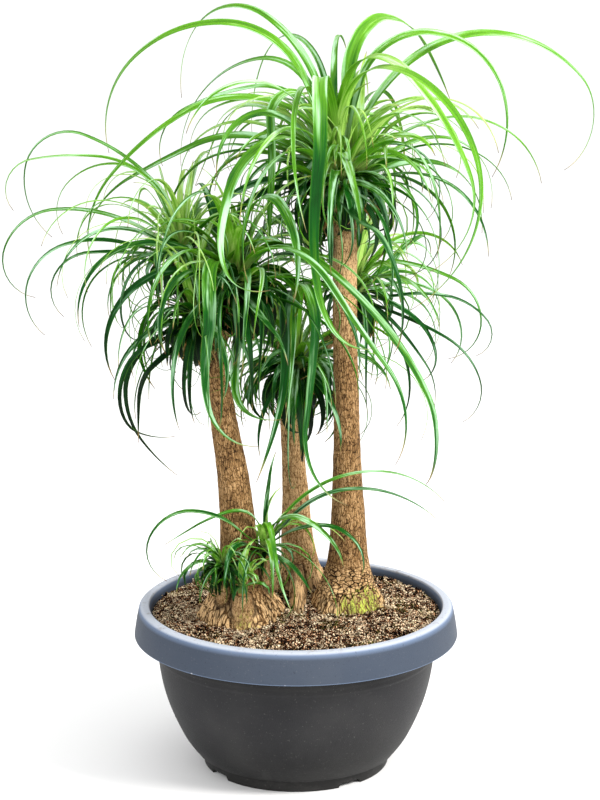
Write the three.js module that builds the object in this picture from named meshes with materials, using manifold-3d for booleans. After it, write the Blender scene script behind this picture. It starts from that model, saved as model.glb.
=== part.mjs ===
// Potted ponytail palm: three plants with swollen bases in one round nursery bowl.
// Millimetres, +Z up. -Y is the front. The origin is the middle of the underside of the whole.
import * as THREE from 'three';
import { mergeVertices } from 'three/addons/utils/BufferGeometryUtils.js';
import Module from 'manifold-3d';

const wasm = await Module();
wasm.setup();

// Driving dimensions of the bowl
const BAND_RADIUS = 200; // lower edge of the rim's skirt, the widest place
const BOWL_HEIGHT = 204;
const WALL = 3;
const FOOT_RADIUS = 115;
const FOOT_HEIGHT = 6;
const FOOT_WIDTH = 6;
const FLOOR_TOP = 10;
const SKIRT_BOTTOM = 166;
const LIP_WIDTH = 9;
const NOTCHES = 4;
const NOTCH_ANGLE = 15; // degrees of the foot ring that each notch opens
const FIRST_NOTCH = -54;
const DRAIN_HOLES = 4;
const DRAIN_HOLE_RADIUS = 7;
const DRAIN_CIRCLE_RADIUS = 80;
const BOWL_SIDES = 32;

// Driving dimensions of the soil
const GAP = 0.3; // clearance between pieces that touch
const SLIVER = 0.1; // details smaller than this are merged away
const SOIL_INSET = 0.6; // level distance from the sloping wall
const SOIL_EDGE = 192;
const SOIL_MIDDLE = 206;
const SOIL_WAVE = 2.5;

// Driving dimensions of the wood
const TRUNK_SIDES = 12;
const BRANCH_SIDES = 8;
const CAUDEX_TOP = 262; // the lobes of a swollen base fade out at this height
const CAUDEX_FADE = 60;
const LOBE_DEPTH = 0.07; // share of the radius

// Driving dimensions of the leaves
const CORE_SIDES = 6;
const LONG_LEAF = 420; // from this length a blade is cut into 8 runs, and below SHORT_LEAF into 4
const SHORT_LEAF = 210;
const GOLDEN_ANGLE = 137.5;
const LEAF_CLEARANCE = 1.2; // between leaves of different heads
const SOIL_CLEARANCE = 4; // between the leaves and the soil's highest level
const BARK_ALLOWANCE = 1.08; // the wood's radius as the leaves clear it
const SAMPLE_SPACING = 6;
const CELL = 32; // side of the cells that the leaves are sorted into
const LEAF_STEPS = 24;
const KEEL = 0.7; // depth of a blade below its flat face, to which KEEL_SHARE of half its width is added
const KEEL_SHARE = 0.1;
const ROOT_OFFSET = 0.3; // core radii from a head's axis to where its leaves start
const ROOT_ZONE = 4; // core radii from the root within which the leaves of one head may touch
const PLACING = { tries: 15, apart: false, mostRuns: 8 };
const FILLING = { tries: 20, apart: true, mostRuns: 6 };

// Inside of the bowl's wall, [radius, height] from the rim down to the floor's edge
const INSIDE_OF_BOWL = [
  [171, SKIRT_BOTTOM], [165.5, 120], [156, 82], [138, 42.5], [121, 20], [110, FLOOR_TOP],
];
const LIP_INNER_RADIUS = 181;
const LIP_EDGE = 202;

const radians = THREE.MathUtils.degToRad;

const MATERIALS = {
  bowl: new THREE.MeshStandardMaterial({ color: 0x3c3d41, roughness: 0.62, metalness: 0 }),
  soil: new THREE.MeshStandardMaterial({ color: 0x4b3325, roughness: 1, metalness: 0 }),
  bark: new THREE.MeshStandardMaterial({ color: 0xa98a66, roughness: 0.9, metalness: 0 }),
  leaf: new THREE.MeshStandardMaterial({ color: 0x3f8a35, roughness: 0.5, metalness: 0 }),
};

// Solid modelling

function solidFrom(geometry) {
  geometry.deleteAttribute('normal');
  geometry.deleteAttribute('uv');
  const merged = mergeVertices(geometry, 1e-4);
  return new wasm.Manifold(new wasm.Mesh({
    numProp: 3,
    vertProperties: new Float32Array(merged.attributes.position.array),
    triVerts: new Uint32Array(merged.index.array),
  }));
}

function largestBody(solid) {
  return solid.decompose().sort((a, b) => b.volume() - a.volume())[0];
}

// One body without slivers where surfaces cross at a low angle, loose scraps or sealed pockets
function cleaned(solid) {
  return largestBody(largestBody(solid).simplify(SLIVER));
}

function meshFrom(name, solid, material) {
  const { vertProperties, triVerts } = solid.getMesh();
  const geometry = new THREE.BufferGeometry();
  geometry.setAttribute('position', new THREE.BufferAttribute(new Float32Array(vertProperties), 3));
  geometry.setIndex(new THREE.BufferAttribute(new Uint32Array(triVerts), 1));
  geometry.computeVertexNormals();
  const mesh = new THREE.Mesh(geometry, material);
  mesh.name = name;
  return mesh;
}

// A body of revolution about Z from a closed outline of [radius, height] points
function turned(outline, sides) {
  const points = outline.map(([radius, height]) => new THREE.Vector2(radius, height));
  const geometry = new THREE.LatheGeometry(points, sides);
  geometry.rotateX(Math.PI / 2);
  return geometry;
}

// A closed skin over a run of rings that all have the same number of points
function skinned(rings) {
  const sides = rings[0].length;
  const first = rings[0].reduce((sum, p) => sum.add(p), new THREE.Vector3()).divideScalar(sides);
  const last = rings.at(-1).reduce((sum, p) => sum.add(p), new THREE.Vector3()).divideScalar(sides);
  const positions = [...rings.flat(), first, last].flatMap((p) => p.toArray());
  const bottom = rings.length * sides;
  const top = bottom + 1;
  const faces = [];
  for (let i = 0; i < sides; i += 1) {
    const next = (i + 1) % sides;
    faces.push(bottom, next, i);
    for (let k = 0; k + 1 < rings.length; k += 1) {
      const a = k * sides + i;
      const b = k * sides + next;
      faces.push(a, b, b + sides, a, b + sides, a + sides);
    }
    faces.push(top, (rings.length - 1) * sides + i, (rings.length - 1) * sides + next);
  }
  const geometry = new THREE.BufferGeometry();
  geometry.setAttribute('position', new THREE.Float32BufferAttribute(positions, 3));
  geometry.setIndex(faces);
  return geometry;
}

// Bowl: one wall turned from foot to lip, with a hollow skirt round the rim

function bowl() {
  const lipOuter = LIP_INNER_RADIUS + LIP_WIDTH;
  const outline = [
    [0, FOOT_HEIGHT],
    [FOOT_RADIUS - FOOT_WIDTH, FOOT_HEIGHT],
    [FOOT_RADIUS - FOOT_WIDTH, 0],
    [FOOT_RADIUS, 0],
    [FOOT_RADIUS + 1, 8],
    [FOOT_RADIUS + 2, 14],
    [124, 17],
    [141, 41],
    [159, 82],
    [168.5, 120],
    [174, SKIRT_BOTTOM],
    [184, BOWL_HEIGHT - WALL],
    [lipOuter - 0.5, BOWL_HEIGHT - WALL],
    [BAND_RADIUS - WALL - 4.5, 193],
    [BAND_RADIUS - WALL - 2, 180],
    [BAND_RADIUS - WALL, SKIRT_BOTTOM],
    [BAND_RADIUS, SKIRT_BOTTOM],
    [BAND_RADIUS - 2, 180],
    [BAND_RADIUS - 4.5, 194],
    [BAND_RADIUS - 6.5, 202],
    [lipOuter, BOWL_HEIGHT],
    [LIP_INNER_RADIUS + 1, BOWL_HEIGHT],
    [LIP_INNER_RADIUS, LIP_EDGE],
    ...INSIDE_OF_BOWL,
    [0, FLOOR_TOP],
  ];
  let solid = solidFrom(turned(outline, BOWL_SIDES));
  const notchWidth = 2 * FOOT_RADIUS * Math.sin(radians(NOTCH_ANGLE / 2));
  for (let i = 0; i < NOTCHES; i += 1) {
    const notch = new THREE.BoxGeometry(4 * FOOT_WIDTH, notchWidth, 2 * FOOT_HEIGHT);
    notch.translate(FOOT_RADIUS, 0, 0);
    notch.rotateZ(radians(FIRST_NOTCH + (i * 360) / NOTCHES));
    solid = solid.subtract(solidFrom(notch));
  }
  for (let i = 0; i < DRAIN_HOLES; i += 1) {
    const hole = new THREE.CylinderGeometry(DRAIN_HOLE_RADIUS, DRAIN_HOLE_RADIUS, 4 * FLOOR_TOP, 8);
    hole.rotateX(Math.PI / 2);
    hole.translate(DRAIN_CIRCLE_RADIUS, 0, 0);
    hole.rotateZ(radians((i * 360) / DRAIN_HOLES));
    solid = solid.subtract(solidFrom(hole));
  }
  return solid;
}

// Soil: fills the bowl and rises a little round the plants, which stand in plain holes

function soil(plants) {
  const [wallTop, wallTopHeight] = INSIDE_OF_BOWL[0];
  const flare = (LIP_INNER_RADIUS - wallTop) / (LIP_EDGE - wallTopHeight);
  const edge = wallTop + flare * (SOIL_EDGE - wallTopHeight) - SOIL_INSET;
  const top = [
    [edge, SOIL_EDGE],
    [edge * 0.85, SOIL_EDGE + 3],
    [edge * 0.6, SOIL_MIDDLE - 5],
    [edge * 0.3, SOIL_MIDDLE - 1],
    [0, SOIL_MIDDLE],
  ];
  const inset = INSIDE_OF_BOWL.map(
    ([radius, height]) => [radius - SOIL_INSET, Math.max(height, FLOOR_TOP + GAP)],
  ).reverse();
  const geometry = turned([[0, FLOOR_TOP + GAP], ...inset, ...top], BOWL_SIDES);
  const position = geometry.attributes.position;
  for (let i = 0; i < position.count; i += 1) {
    const x = position.getX(i);
    const y = position.getY(i);
    const z = position.getZ(i);
    if (z > SOIL_EDGE + 1) position.setZ(i, z + soilWave(x, y));
  }
  return plants.reduce((solid, plant) => solid.subtract(plant), solidFrom(geometry));
}

function soilWave(x, y) {
  return SOIL_WAVE * Math.sin(x / 23 + 0.7) * Math.sin(y / 19 + 0.4);
}

// Wood: every limb is a run of level rings, [x, y, z, radius, stretch along Y]

function limb(stations, sides, lobes = 0, spare = 0) {
  const rings = stations.map(([x, y, z, radius, stretch = 1]) => {
    const fade = THREE.MathUtils.clamp((CAUDEX_TOP - z) / CAUDEX_FADE, 0, 1);
    return Array.from({ length: sides }, (_, i) => {
      const angle = (2 * Math.PI * i) / sides;
      const lobe = lobes ? 1 + LOBE_DEPTH * fade * Math.cos(lobes * angle + lobes) : 1;
      const reach = radius * lobe + spare;
      return new THREE.Vector3(
        x + reach * Math.cos(angle),
        y + (reach + radius * (stretch - 1)) * Math.sin(angle),
        z,
      );
    });
  });
  if (spare) rings[0].forEach((point) => point.setZ(point.z - spare));
  return solidFrom(skinned(rings));
}

const PLANTS = {
  left: {
    lobes: 5,
    stem: [
      [-66, -40, 150, 44], [-66, -40, 178, 54], [-66, -40, 196, 55], [-66, -40, 214, 46.5],
      [-67, -40, 232, 36], [-68, -40, 250, 29], [-69, -40, 272, 24.5], [-70, -40, 304, 22],
      [-75, -40, 371, 19.5], [-84, -40, 430, 17], [-90, -40, 470, 15], [-101, -40, 522, 15],
      [-105, -40, 545, 13],
    ],
    branches: [
      [[-100, -40, 505, 10], [-90, -44, 550, 12], [-74, -49, 578, 12], [-70, -50, 586.7, 11.5]],
      [[-102, -40, 515, 10], [-116, -32, 570, 11.5], [-131, -22, 610, 11], [-135, -20, 621.7, 10.5]],
      [[-102, -40, 505, 10], [-112, -52, 535, 12], [-118, -60, 552.7, 11]],
      [[-44, -38, 215, 13], [-40, -45, 250, 9], [-38, -48, 274.7, 6.5]],
      [[-65, -62, 165, 20], [-64, -72, 196, 17], [-64, -80, 222, 13.5], [-64, -84, 238.7, 10.5]],
      [[-80, -60, 190, 13], [-86, -68, 230, 9.5], [-88, -73, 257.7, 7.5]],
    ],
  },
  middle: {
    lobes: 4,
    stem: [
      [5, 65, 150, 30], [5, 65, 176, 36], [5, 65, 196, 38], [5, 65, 212, 34], [4, 65, 228, 28],
      [4, 65, 242, 23.5], [1, 65, 277, 19.5], [-1, 65, 328, 16.5], [-3, 65, 368, 14.5],
      [-7, 65, 433, 13.5], [-6, 63, 450, 12.5], [-1, 56, 466.7, 11.5],
    ],
    branches: [
      [[2, 12, 165, 9, 5], [2, 12, 202, 11, 5.2], [2, 16, 224, 9, 5], [3, 26, 240, 5, 6]],
      [[-6, 67, 415, 9], [4, 82, 460, 10.5], [28, 84, 500, 10.5], [56, 76, 535, 10.5], [70, 71, 559.7, 10]],
    ],
  },
  right: {
    lobes: 5,
    stem: [
      [62, -6, 150, 40], [62, -6, 176, 47], [62, -6, 198, 47], [62, -6, 214, 40.5], [63, -6, 230, 33.5],
      [64, -6, 251, 27.5], [64, -6, 272, 24], [64, -6, 298, 22], [63, -6, 348, 19],
      [62, -6, 408, 16.5], [61, -6, 467, 15.5], [59, -6, 547, 14.5], [58, -6, 660, 14.5],
      [54, -8, 690, 12.5], [51, -10, 702.7, 11.5],
    ],
    branches: [
      [[58, -6, 645, 10], [66, 2, 685, 11.5], [72, 8, 705.7, 10.5]],
      [[57, -6, 640, 10], [42, 3, 672, 11.5], [33, 8, 693.7, 10.5]],
    ],
  },
};

function plantSolid({ stem, branches, lobes }, spare = 0) {
  return branches.reduce(
    (solid, branch) => solid.add(limb(branch, BRANCH_SIDES, 0, spare)),
    limb(stem, TRUNK_SIDES, lobes, spare),
  );
}

// Foliage: a head is a short core packed round with blades, and heads that grow into each other share a node.
// root is the middle of the core, reach the length of a full-grown leaf, and spiral how many leaves fill
// the head round those placed one by one. From the first of these to the last the slope at the root drops by
// fall, in degrees, and a larger bend keeps them straight for longer. Of a placed leaf, turn is the change of
// azimuth from root to tip, rise holds the slope in degrees at its root, its quarters and its tip, and roll
// tips the blade about its own line.

const leaf = (azimuth, turn, length, rise, width, roll) => ({ azimuth, turn, length, rise, width, roll });

const HEADS = [
  {
    node: 'crown_right', root: [51, -10, 728], core: 15, reach: 310, width: 11, spiral: 28, seed: 11,
    fall: 70, bend: 1.4,
    placed: [
      leaf(170, -40, 425, [88, 70, 30, -40, -100], 11, -40),
      leaf(175, -10, 490, [80, 65, 0, -45, -105], 12, -45),
      leaf(-115, 70, 610, [90, 25, -120, -70, 35], 18, 0),
      leaf(-130, 60, 385, [75, 55, -30, -50, -45], 10, 0),
      leaf(-155, 20, 355, [65, 75, -95, -85, -90], 15, -20),
      leaf(-175, 0, 460, [85, 20, -30, -50, -105], 10, -50),
      leaf(-175, -30, 370, [50, 15, -25, -30, -70], 11, -50),
      leaf(-170, 125, 435, [75, -15, -50, -25, 15], 13, -30),
      leaf(135, -10, 350, [45, 35, -5, -55, -55], 12, -30),
      leaf(5, 30, 545, [80, 45, -5, -45, -160], 12, 45),
      leaf(40, 30, 455, [80, 90, -5, -40, -40], 18, 30),
      leaf(0, 5, 445, [85, 75, -5, -70, -120], 12, 45),
      leaf(-95, 110, 520, [90, 50, -40, -70, -155], 15, 20),
      leaf(-90, 95, 585, [90, 30, -30, -95, -150], 13, 20),
      leaf(100, -25, 275, [60, 60, 65, 5, -50], 11, 0),
      leaf(175, 15, 325, [85, 55, -10, -25, -110], 9, -40),
      leaf(145, 10, 385, [80, 65, -10, -50, -95], 11, -30),
      leaf(115, 10, 395, [80, 70, 10, -55, -95], 9, -30),
      leaf(155, -15, 290, [80, 40, 0, -25, -85], 8, -50),
      leaf(-90, 20, 200, [80, 10, -25, -45, -85], 13, 0),
      leaf(-85, 20, 390, [-10, -5, 0, -50, -140], 11, 0),
    ],
  },
  {
    node: 'crown_right', root: [72, 8, 731], core: 15, reach: 230, width: 9, spiral: 16, seed: 12,
    fall: 75, bend: 1.3, placed: [],
  },
  {
    node: 'crown_right', root: [33, 8, 719], core: 15, reach: 230, width: 9, spiral: 14, seed: 13,
    fall: 80, bend: 1.3, placed: [],
  },
  {
    node: 'crown_left_main', root: [-70, -50, 612], core: 15, reach: 240, width: 11, spiral: 24, seed: 26,
    fall: 95, bend: 1.1,
    placed: [
      leaf(-30, -45, 495, [70, -25, -30, -40, -150], 14, 0),
      leaf(-65, 25, 470, [50, 10, -40, -40, -125], 13, 0),
      leaf(-30, -15, 275, [55, 15, -45, -60, -105], 11, 20),
      leaf(-125, 110, 350, [65, -20, -115, -75, 10], 17, 0),
      leaf(-15, -90, 300, [95, 70, -30, -45, -35], 15, 20),
      leaf(-15, 0, 115, [80, 70, 20, -35, -75], 11, 45),
      leaf(-75, 5, 215, [5, -10, -10, -10, -55], 11, 0),
      leaf(140, -30, 150, [65, 65, 65, 45, -35], 14, -20),
      leaf(180, 20, 260, [50, 25, -10, -55, -100], 11, -45),
      leaf(-165, 10, 250, [35, 5, -35, -75, -120], 12, -40),
      leaf(-125, 10, 300, [75, 75, -5, -50, -110], 7, -20),
    ],
  },
  {
    node: 'crown_left_outer', root: [-135, -20, 645], core: 13, reach: 240, width: 7, spiral: 18, seed: 22,
    fall: 80, bend: 1.4,
    placed: [
      leaf(180, 0, 215, [5, 5, -5, -65, -140], 6, -50),
      leaf(-170, -5, 275, [15, 15, -15, -75, -140], 7, -50),
      leaf(175, 10, 320, [40, 20, -5, -70, -170], 7, -50),
      leaf(170, 15, 370, [90, 45, 20, -80, -140], 6, -50),
      leaf(175, 10, 315, [90, 50, 5, -10, -130], 6, -50),
      leaf(155, 10, 275, [75, 60, 0, -45, -120], 6, -40),
    ],
  },
  {
    node: 'crown_left_front', root: [-118, -60, 576], core: 13, reach: 165, width: 8, spiral: 18, seed: 23,
    fall: 104, bend: 0.8,
    placed: [
      leaf(-165, 0, 250, [-10, -40, -90, -125, -140], 9, -50),
      leaf(-140, 15, 275, [-20, -10, -80, -155, -175], 8, -30),
      leaf(-125, 10, 190, [-45, -15, -20, -85, -90], 9, -20),
    ],
  },
  {
    node: 'crown_middle', root: [-1, 56, 492], core: 15, reach: 160, width: 9, spiral: 24, seed: 31,
    fall: 100, bend: 1.1,
    placed: [
      leaf(-90, -25, 400, [50, 70, -105, -50, -40], 15, 0),
      leaf(-95, 60, 480, [50, 60, -100, -100, -5], 15, 0),
      leaf(-85, -15, 340, [90, 65, -55, -50, -45], 10, 0),
      leaf(-150, 105, 365, [90, 10, -55, -10, 15], 14, 0),
    ],
  },
  {
    node: 'crown_middle_back', root: [72, 70, 583], core: 13, reach: 220, width: 8, spiral: 20, seed: 32,
    fall: 95, bend: 1.2,
    placed: [
      leaf(0, -10, 270, [70, -10, -25, -90, -170], 7, 50),
      leaf(-10, 0, 225, [-5, 10, -10, -50, -160], 6, 50),
      leaf(-35, 20, 260, [-15, -15, -25, -70, -150], 6, 40),
      leaf(60, -20, 310, [90, -5, -10, -80, -155], 10, 40),
      leaf(50, 10, 200, [15, 25, 25, 5, -95], 12, 30),
      leaf(-35, 10, 180, [5, -15, -35, -75, -150], 7, 40),
      leaf(-60, 10, 215, [-5, -15, -30, -40, -105], 6, 30),
    ],
  },
  {
    node: 'shoot_tall', root: [-38, -48, 289], core: 7, reach: 150, width: 6, spiral: 12, seed: 41,
    fall: 104, bend: 0.7,
    placed: [
      leaf(-125, -60, 255, [35, 40, 10, -65, -155], 8, -40),
      leaf(-120, -70, 170, [90, 45, -10, -30, -35], 5, -40),
      leaf(-10, 55, 295, [70, 40, 5, -25, -45], 6, 45),
      leaf(-20, 30, 250, [55, 45, 10, -20, -45], 8, 45),
      leaf(-35, 5, 160, [90, 35, -15, -40, -80], 11, 20),
      leaf(-25, -20, 190, [45, 25, 5, -40, -125], 8, 30),
      leaf(-70, 10, 140, [5, 5, 0, -20, -35], 9, 0),
      leaf(-90, 40, 175, [90, 25, -70, -60, -50], 8, 0),
      leaf(60, 0, 115, [90, 90, 75, 75, 45], 7, 0),
      leaf(-130, 30, 130, [20, 25, -5, -65, -60], 9, -20),
    ],
  },
  {
    node: 'shoot_stump', root: [-64, -84, 251], core: 6, reach: 50, width: 7, spiral: 8, seed: 42,
    fall: 60, bend: 1.3, placed: [],
  },
  {
    node: 'shoot_tuft', root: [-88, -73, 272], core: 7, reach: 85, width: 5, spiral: 22, seed: 43,
    fall: 70, bend: 1.2, placed: [],
  },
];

// A run of even draws from 0 to 1 that is the same each time for the same seed
function drawsFrom(seed) {
  let state = seed >>> 0;
  return () => {
    state = (state + 0x6d2b79f5) >>> 0;
    let mixed = Math.imul(state ^ (state >>> 15), state | 1);
    mixed ^= mixed + Math.imul(mixed ^ (mixed >>> 7), mixed | 61);
    return ((mixed ^ (mixed >>> 14)) >>> 0) / 4294967296;
  };
}

// The leaves of a head spiral down from young and upright to old and hanging
function spiralLeaf(head, index, attempt) {
  const draw = drawsFrom(head.seed * 10000 + index * 50 + attempt);
  const jitter = (size) => size * (2 * draw() - 1);
  const age = (index + 0.5) / head.spiral;
  const start = 84 - head.fall * age + jitter(10);
  const end = -60 - 60 * Math.sqrt(age) + jitter(30);
  const bend = head.bend + 0.5 * draw();
  return {
    azimuth: index * GOLDEN_ANGLE + jitter(22),
    turn: jitter(35),
    length: head.reach * (0.5 + 0.5 * Math.sin(Math.PI * (0.1 + 0.7 * age))) * (1 + jitter(0.15)),
    rise: [0, 0.25, 0.5, 0.75, 1].map((along) => start + (end - start) * along ** bend),
    width: head.width * (0.75 + 0.4 * draw()),
    roll: jitter(55),
  };
}

// Points along a leaf with the way across the blade, the way out of its upper face, and half its width
function leafLine(head, { azimuth, turn, length, rise, width, roll }) {
  const direction = (along) => {
    const quarter = Math.min(along * 4, 3.9999);
    const k = Math.floor(quarter);
    const slope = radians(rise[k] + (rise[k + 1] - rise[k]) * (quarter - k));
    const heading = radians(azimuth + turn * along);
    return [new THREE.Vector3(
      Math.cos(slope) * Math.cos(heading), Math.cos(slope) * Math.sin(heading), Math.sin(slope),
    ), new THREE.Vector3(-Math.sin(heading), Math.cos(heading), 0)];
  };
  const [x, y, z] = head.root;
  const lift = THREE.MathUtils.clamp(rise[0] / 90 - 0.4, -0.6, 0.5);
  const out = ROOT_OFFSET * head.core;
  const heading = radians(azimuth);
  const point = new THREE.Vector3(x, y, z + head.core * lift);
  point.x += out * Math.cos(heading);
  point.y += out * Math.sin(heading);
  return Array.from({ length: LEAF_STEPS + 1 }, (_, i) => {
    const along = i / LEAF_STEPS;
    if (i) point.addScaledVector(direction(along - 0.5 / LEAF_STEPS)[0], length / LEAF_STEPS);
    const [ahead, level] = direction(along);
    const across = level.clone().applyAxisAngle(ahead, radians(roll * Math.min(1, 3 * along)));
    const taper = Math.min(1, 0.4 + 5 * along) * (1 - along ** 2.2);
    return { point: point.clone(), across, out: ahead.clone().cross(across), half: (width / 2) * taper };
  });
}

// A blade is three-sided: flat above, with a keel below. A run that is twisted can't stay flat above, so it
// is creased there from corner to corner, the way that lifts it off the keel.
function blade(line, steps) {
  const stations = line.filter((_, i) => i % (LEAF_STEPS / steps) === 0);
  const rings = stations.slice(0, -1).map(({ point, across, out, half }) => [
    point.clone().addScaledVector(across, -half),
    point.clone().addScaledVector(out, -KEEL - KEEL_SHARE * half),
    point.clone().addScaledVector(across, half),
  ]);
  const tip = stations.at(-1).point;
  const positions = [...rings.flat(), tip].flatMap((p) => p.toArray());
  const faces = [0, 2, 1];
  for (let k = 0; k + 1 < rings.length; k += 1) {
    const [left, keel, right] = [3 * k, 3 * k + 1, 3 * k + 2];
    faces.push(left, keel, keel + 3, left, keel + 3, left + 3);
    faces.push(keel, right, right + 3, keel, right + 3, keel + 3);
    const twist = rings[k + 1][2].clone().sub(rings[k + 1][0]).sub(rings[k][2]).add(rings[k][0]);
    if (twist.dot(stations[k].out) > 0) faces.push(right, left, right + 3, left, left + 3, right + 3);
    else faces.push(right, left, left + 3, right, left + 3, right + 3);
  }
  const end = 3 * rings.length;
  faces.push(end - 3, end - 2, end, end - 2, end - 1, end, end - 1, end - 3, end);
  const geometry = new THREE.BufferGeometry();
  geometry.setAttribute('position', new THREE.Float32BufferAttribute(positions, 3));
  geometry.setIndex(faces);
  return solidFrom(geometry);
}

function core({ root: [x, y, z], core: radius }) {
  const below = coreDepth(radius);
  const outline = [
    [0, -below], [radius * 0.75, -below], [radius, -below * 0.4], [radius, 0.2 * radius],
    [0, radius * 1.2],
  ];
  const geometry = turned(outline, CORE_SIDES);
  geometry.translate(x, y, z);
  return solidFrom(geometry);
}

// Distance from a core's middle down to its flat foot
function coreDepth(radius) {
  return radius < 10 ? radius * 2 : radius + 10;
}

// What each piece of wood and foliage takes up, so that leaves of one head pass clear of all others

class Room {
  constructor(plants) {
    this.cells = new Map();
    this.limbs = plants.flatMap(({ stem, branches }) => [stem, ...branches]);
  }

  static key(i, j, k) {
    return ((i + 64) * 128 + (j + 64)) * 128 + (k + 64);
  }

  take(owner, balls) {
    for (const ball of balls) {
      const [i, j, k] = ball.point.toArray().map((value) => Math.floor(value / CELL));
      const key = Room.key(i, j, k);
      if (!this.cells.has(key)) this.cells.set(key, []);
      this.cells.get(key).push({ owner, ...ball });
    }
  }

  static insideWood(limb, { point, half }) {
    return limb.some(([x0, y0, z0, r0, stretch0 = 1], i) => {
      if (i + 1 === limb.length || point.z < z0) return false;
      const [x1, y1, z1, r1, stretch1 = 1] = limb[i + 1];
      if (point.z > z1) return false;
      const mix = (point.z - z0) / (z1 - z0);
      const across = point.x - x0 - (x1 - x0) * mix;
      const along = (point.y - y0 - (y1 - y0) * mix) / (stretch0 + (stretch1 - stretch0) * mix);
      return Math.hypot(across, along) < (r0 + (r1 - r0) * mix) * BARK_ALLOWANCE + half + LEAF_CLEARANCE;
    });
  }

  // With apart, a leaf also keeps clear of its own head's leaves outside the zone round its root
  isFree(owner, balls, apart) {
    return balls.every((ball) => {
      const { point, half, near } = ball;
      if (point.z - half < SOIL_MIDDLE + SOIL_CLEARANCE) return false;
      if (this.limbs.some((limb) => Room.insideWood(limb, ball))) return false;
      const [i, j, k] = point.toArray().map((value) => Math.floor(value / CELL));
      for (let di = -1; di <= 1; di += 1) {
        for (let dj = -1; dj <= 1; dj += 1) {
          for (let dk = -1; dk <= 1; dk += 1) {
            const others = this.cells.get(Room.key(i + di, j + dj, k + dk)) ?? [];
            const met = others.some((other) => (other.owner !== owner || (apart && !(near || other.near)))
              && other.point.distanceTo(point) < other.half + half + LEAF_CLEARANCE);
            if (met) return false;
          }
        }
      }
      return true;
    });
  }
}

// Balls along the straight runs between a leaf's stations. Those near its root may meet their own head.
function ballsAlong(line, steps, length, rootZone) {
  const stations = line.filter((_, i) => i % (LEAF_STEPS / steps) === 0);
  const parts = Math.ceil(length / steps / SAMPLE_SPACING);
  return stations.slice(1).flatMap((end, i) => Array.from({ length: parts }, (_, part) => {
    const point = stations[i].point.clone().lerp(end.point, part / parts);
    return {
      point,
      half: stations[i].half + (end.half - stations[i].half) * (part / parts),
      near: point.distanceTo(line[0].point) < rootZone,
    };
  }));
}

function runsOf(length) {
  if (length > LONG_LEAF) return 8;
  return length > SHORT_LEAF ? 6 : 4;
}

// The first of a few tries at a leaf that is clear of every other piece, or none
function findRoom(room, head, { tries, apart, mostRuns }, leafAt) {
  for (let attempt = 0; attempt < tries; attempt += 1) {
    const candidate = leafAt(attempt);
    const line = leafLine(head, candidate);
    const steps = Math.min(mostRuns, runsOf(candidate.length));
    const balls = ballsAlong(line, steps, candidate.length, ROOT_ZONE * head.core);
    if (room.isFree(head.node, balls, apart)) {
      room.take(head.node, balls);
      return [blade(line, steps)];
    }
  }
  return [];
}

// A placed leaf swings by a few degrees to either side until it is clear
function swung(placed, attempt) {
  const swing = 3 * Math.ceil(attempt / 2) * (attempt % 2 ? 1 : -1);
  return { ...placed, azimuth: placed.azimuth + swing };
}

function foliage() {
  const room = new Room(Object.values(PLANTS));
  for (const { node, root: [x, y, z], core: radius } of HEADS) {
    const heights = [-coreDepth(radius) + radius, 0, radius * 0.4];
    room.take(node, heights.map((height) => (
      { point: new THREE.Vector3(x, y, z + height), half: radius, near: true }
    )));
  }
  const blades = HEADS.map((head) => head.placed.flatMap(
    (placed) => findRoom(room, head, PLACING, (attempt) => swung(placed, attempt)),
  ));
  HEADS.forEach((head, i) => {
    for (let index = 0; index < head.spiral; index += 1) {
      blades[i].push(...findRoom(room, head, FILLING, (attempt) => spiralLeaf(head, index, attempt)));
    }
  });
  return [...new Set(HEADS.map(({ node }) => node))].map((node) => {
    const solids = HEADS.flatMap((head, i) => (head.node === node ? [core(head), ...blades[i]] : []));
    return [node, cleaned(wasm.Manifold.union(solids))];
  });
}

// The whole, moved so that the middle of its underside is the origin

const palm = new THREE.Group();
palm.add(meshFrom('bowl', bowl(), MATERIALS.bowl));
const holes = Object.values(PLANTS).map((plant) => plantSolid(plant, GAP));
palm.add(meshFrom('soil', cleaned(soil(holes)), MATERIALS.soil));
const [left, middle, right] = ['left', 'middle', 'right'].map((side) => plantSolid(PLANTS[side]));
const middleAlone = middle.subtract(plantSolid(PLANTS.left, GAP)).subtract(plantSolid(PLANTS.right, GAP));
palm.add(meshFrom('trunk_left', cleaned(left), MATERIALS.bark));
palm.add(meshFrom('trunk_middle', cleaned(middleAlone), MATERIALS.bark));
palm.add(meshFrom('trunk_right', cleaned(right), MATERIALS.bark));
for (const [name, solid] of foliage()) palm.add(meshFrom(name, solid, MATERIALS.leaf));

const bounds = new THREE.Box3().setFromObject(palm);
const centre = bounds.getCenter(new THREE.Vector3());
for (const piece of palm.children) piece.position.set(-centre.x, -centre.y, -bounds.min.z);

export default palm;
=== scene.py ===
"""Potted ponytail palm: three plants with swollen bases in one round nursery bowl.

Lengths in the tables are millimetres from the bowl's axis and underside, with +Z up and -Y at the front.
Meshes are in metres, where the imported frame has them.
"""

import logging
import math
from collections import defaultdict
from dataclasses import dataclass, field, replace
from enum import Enum
from functools import partial
from itertools import product
from typing import Any, Callable, Iterator, NamedTuple, Sequence

import bmesh
import bpy
from mathutils import Matrix, Vector, noise


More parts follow.
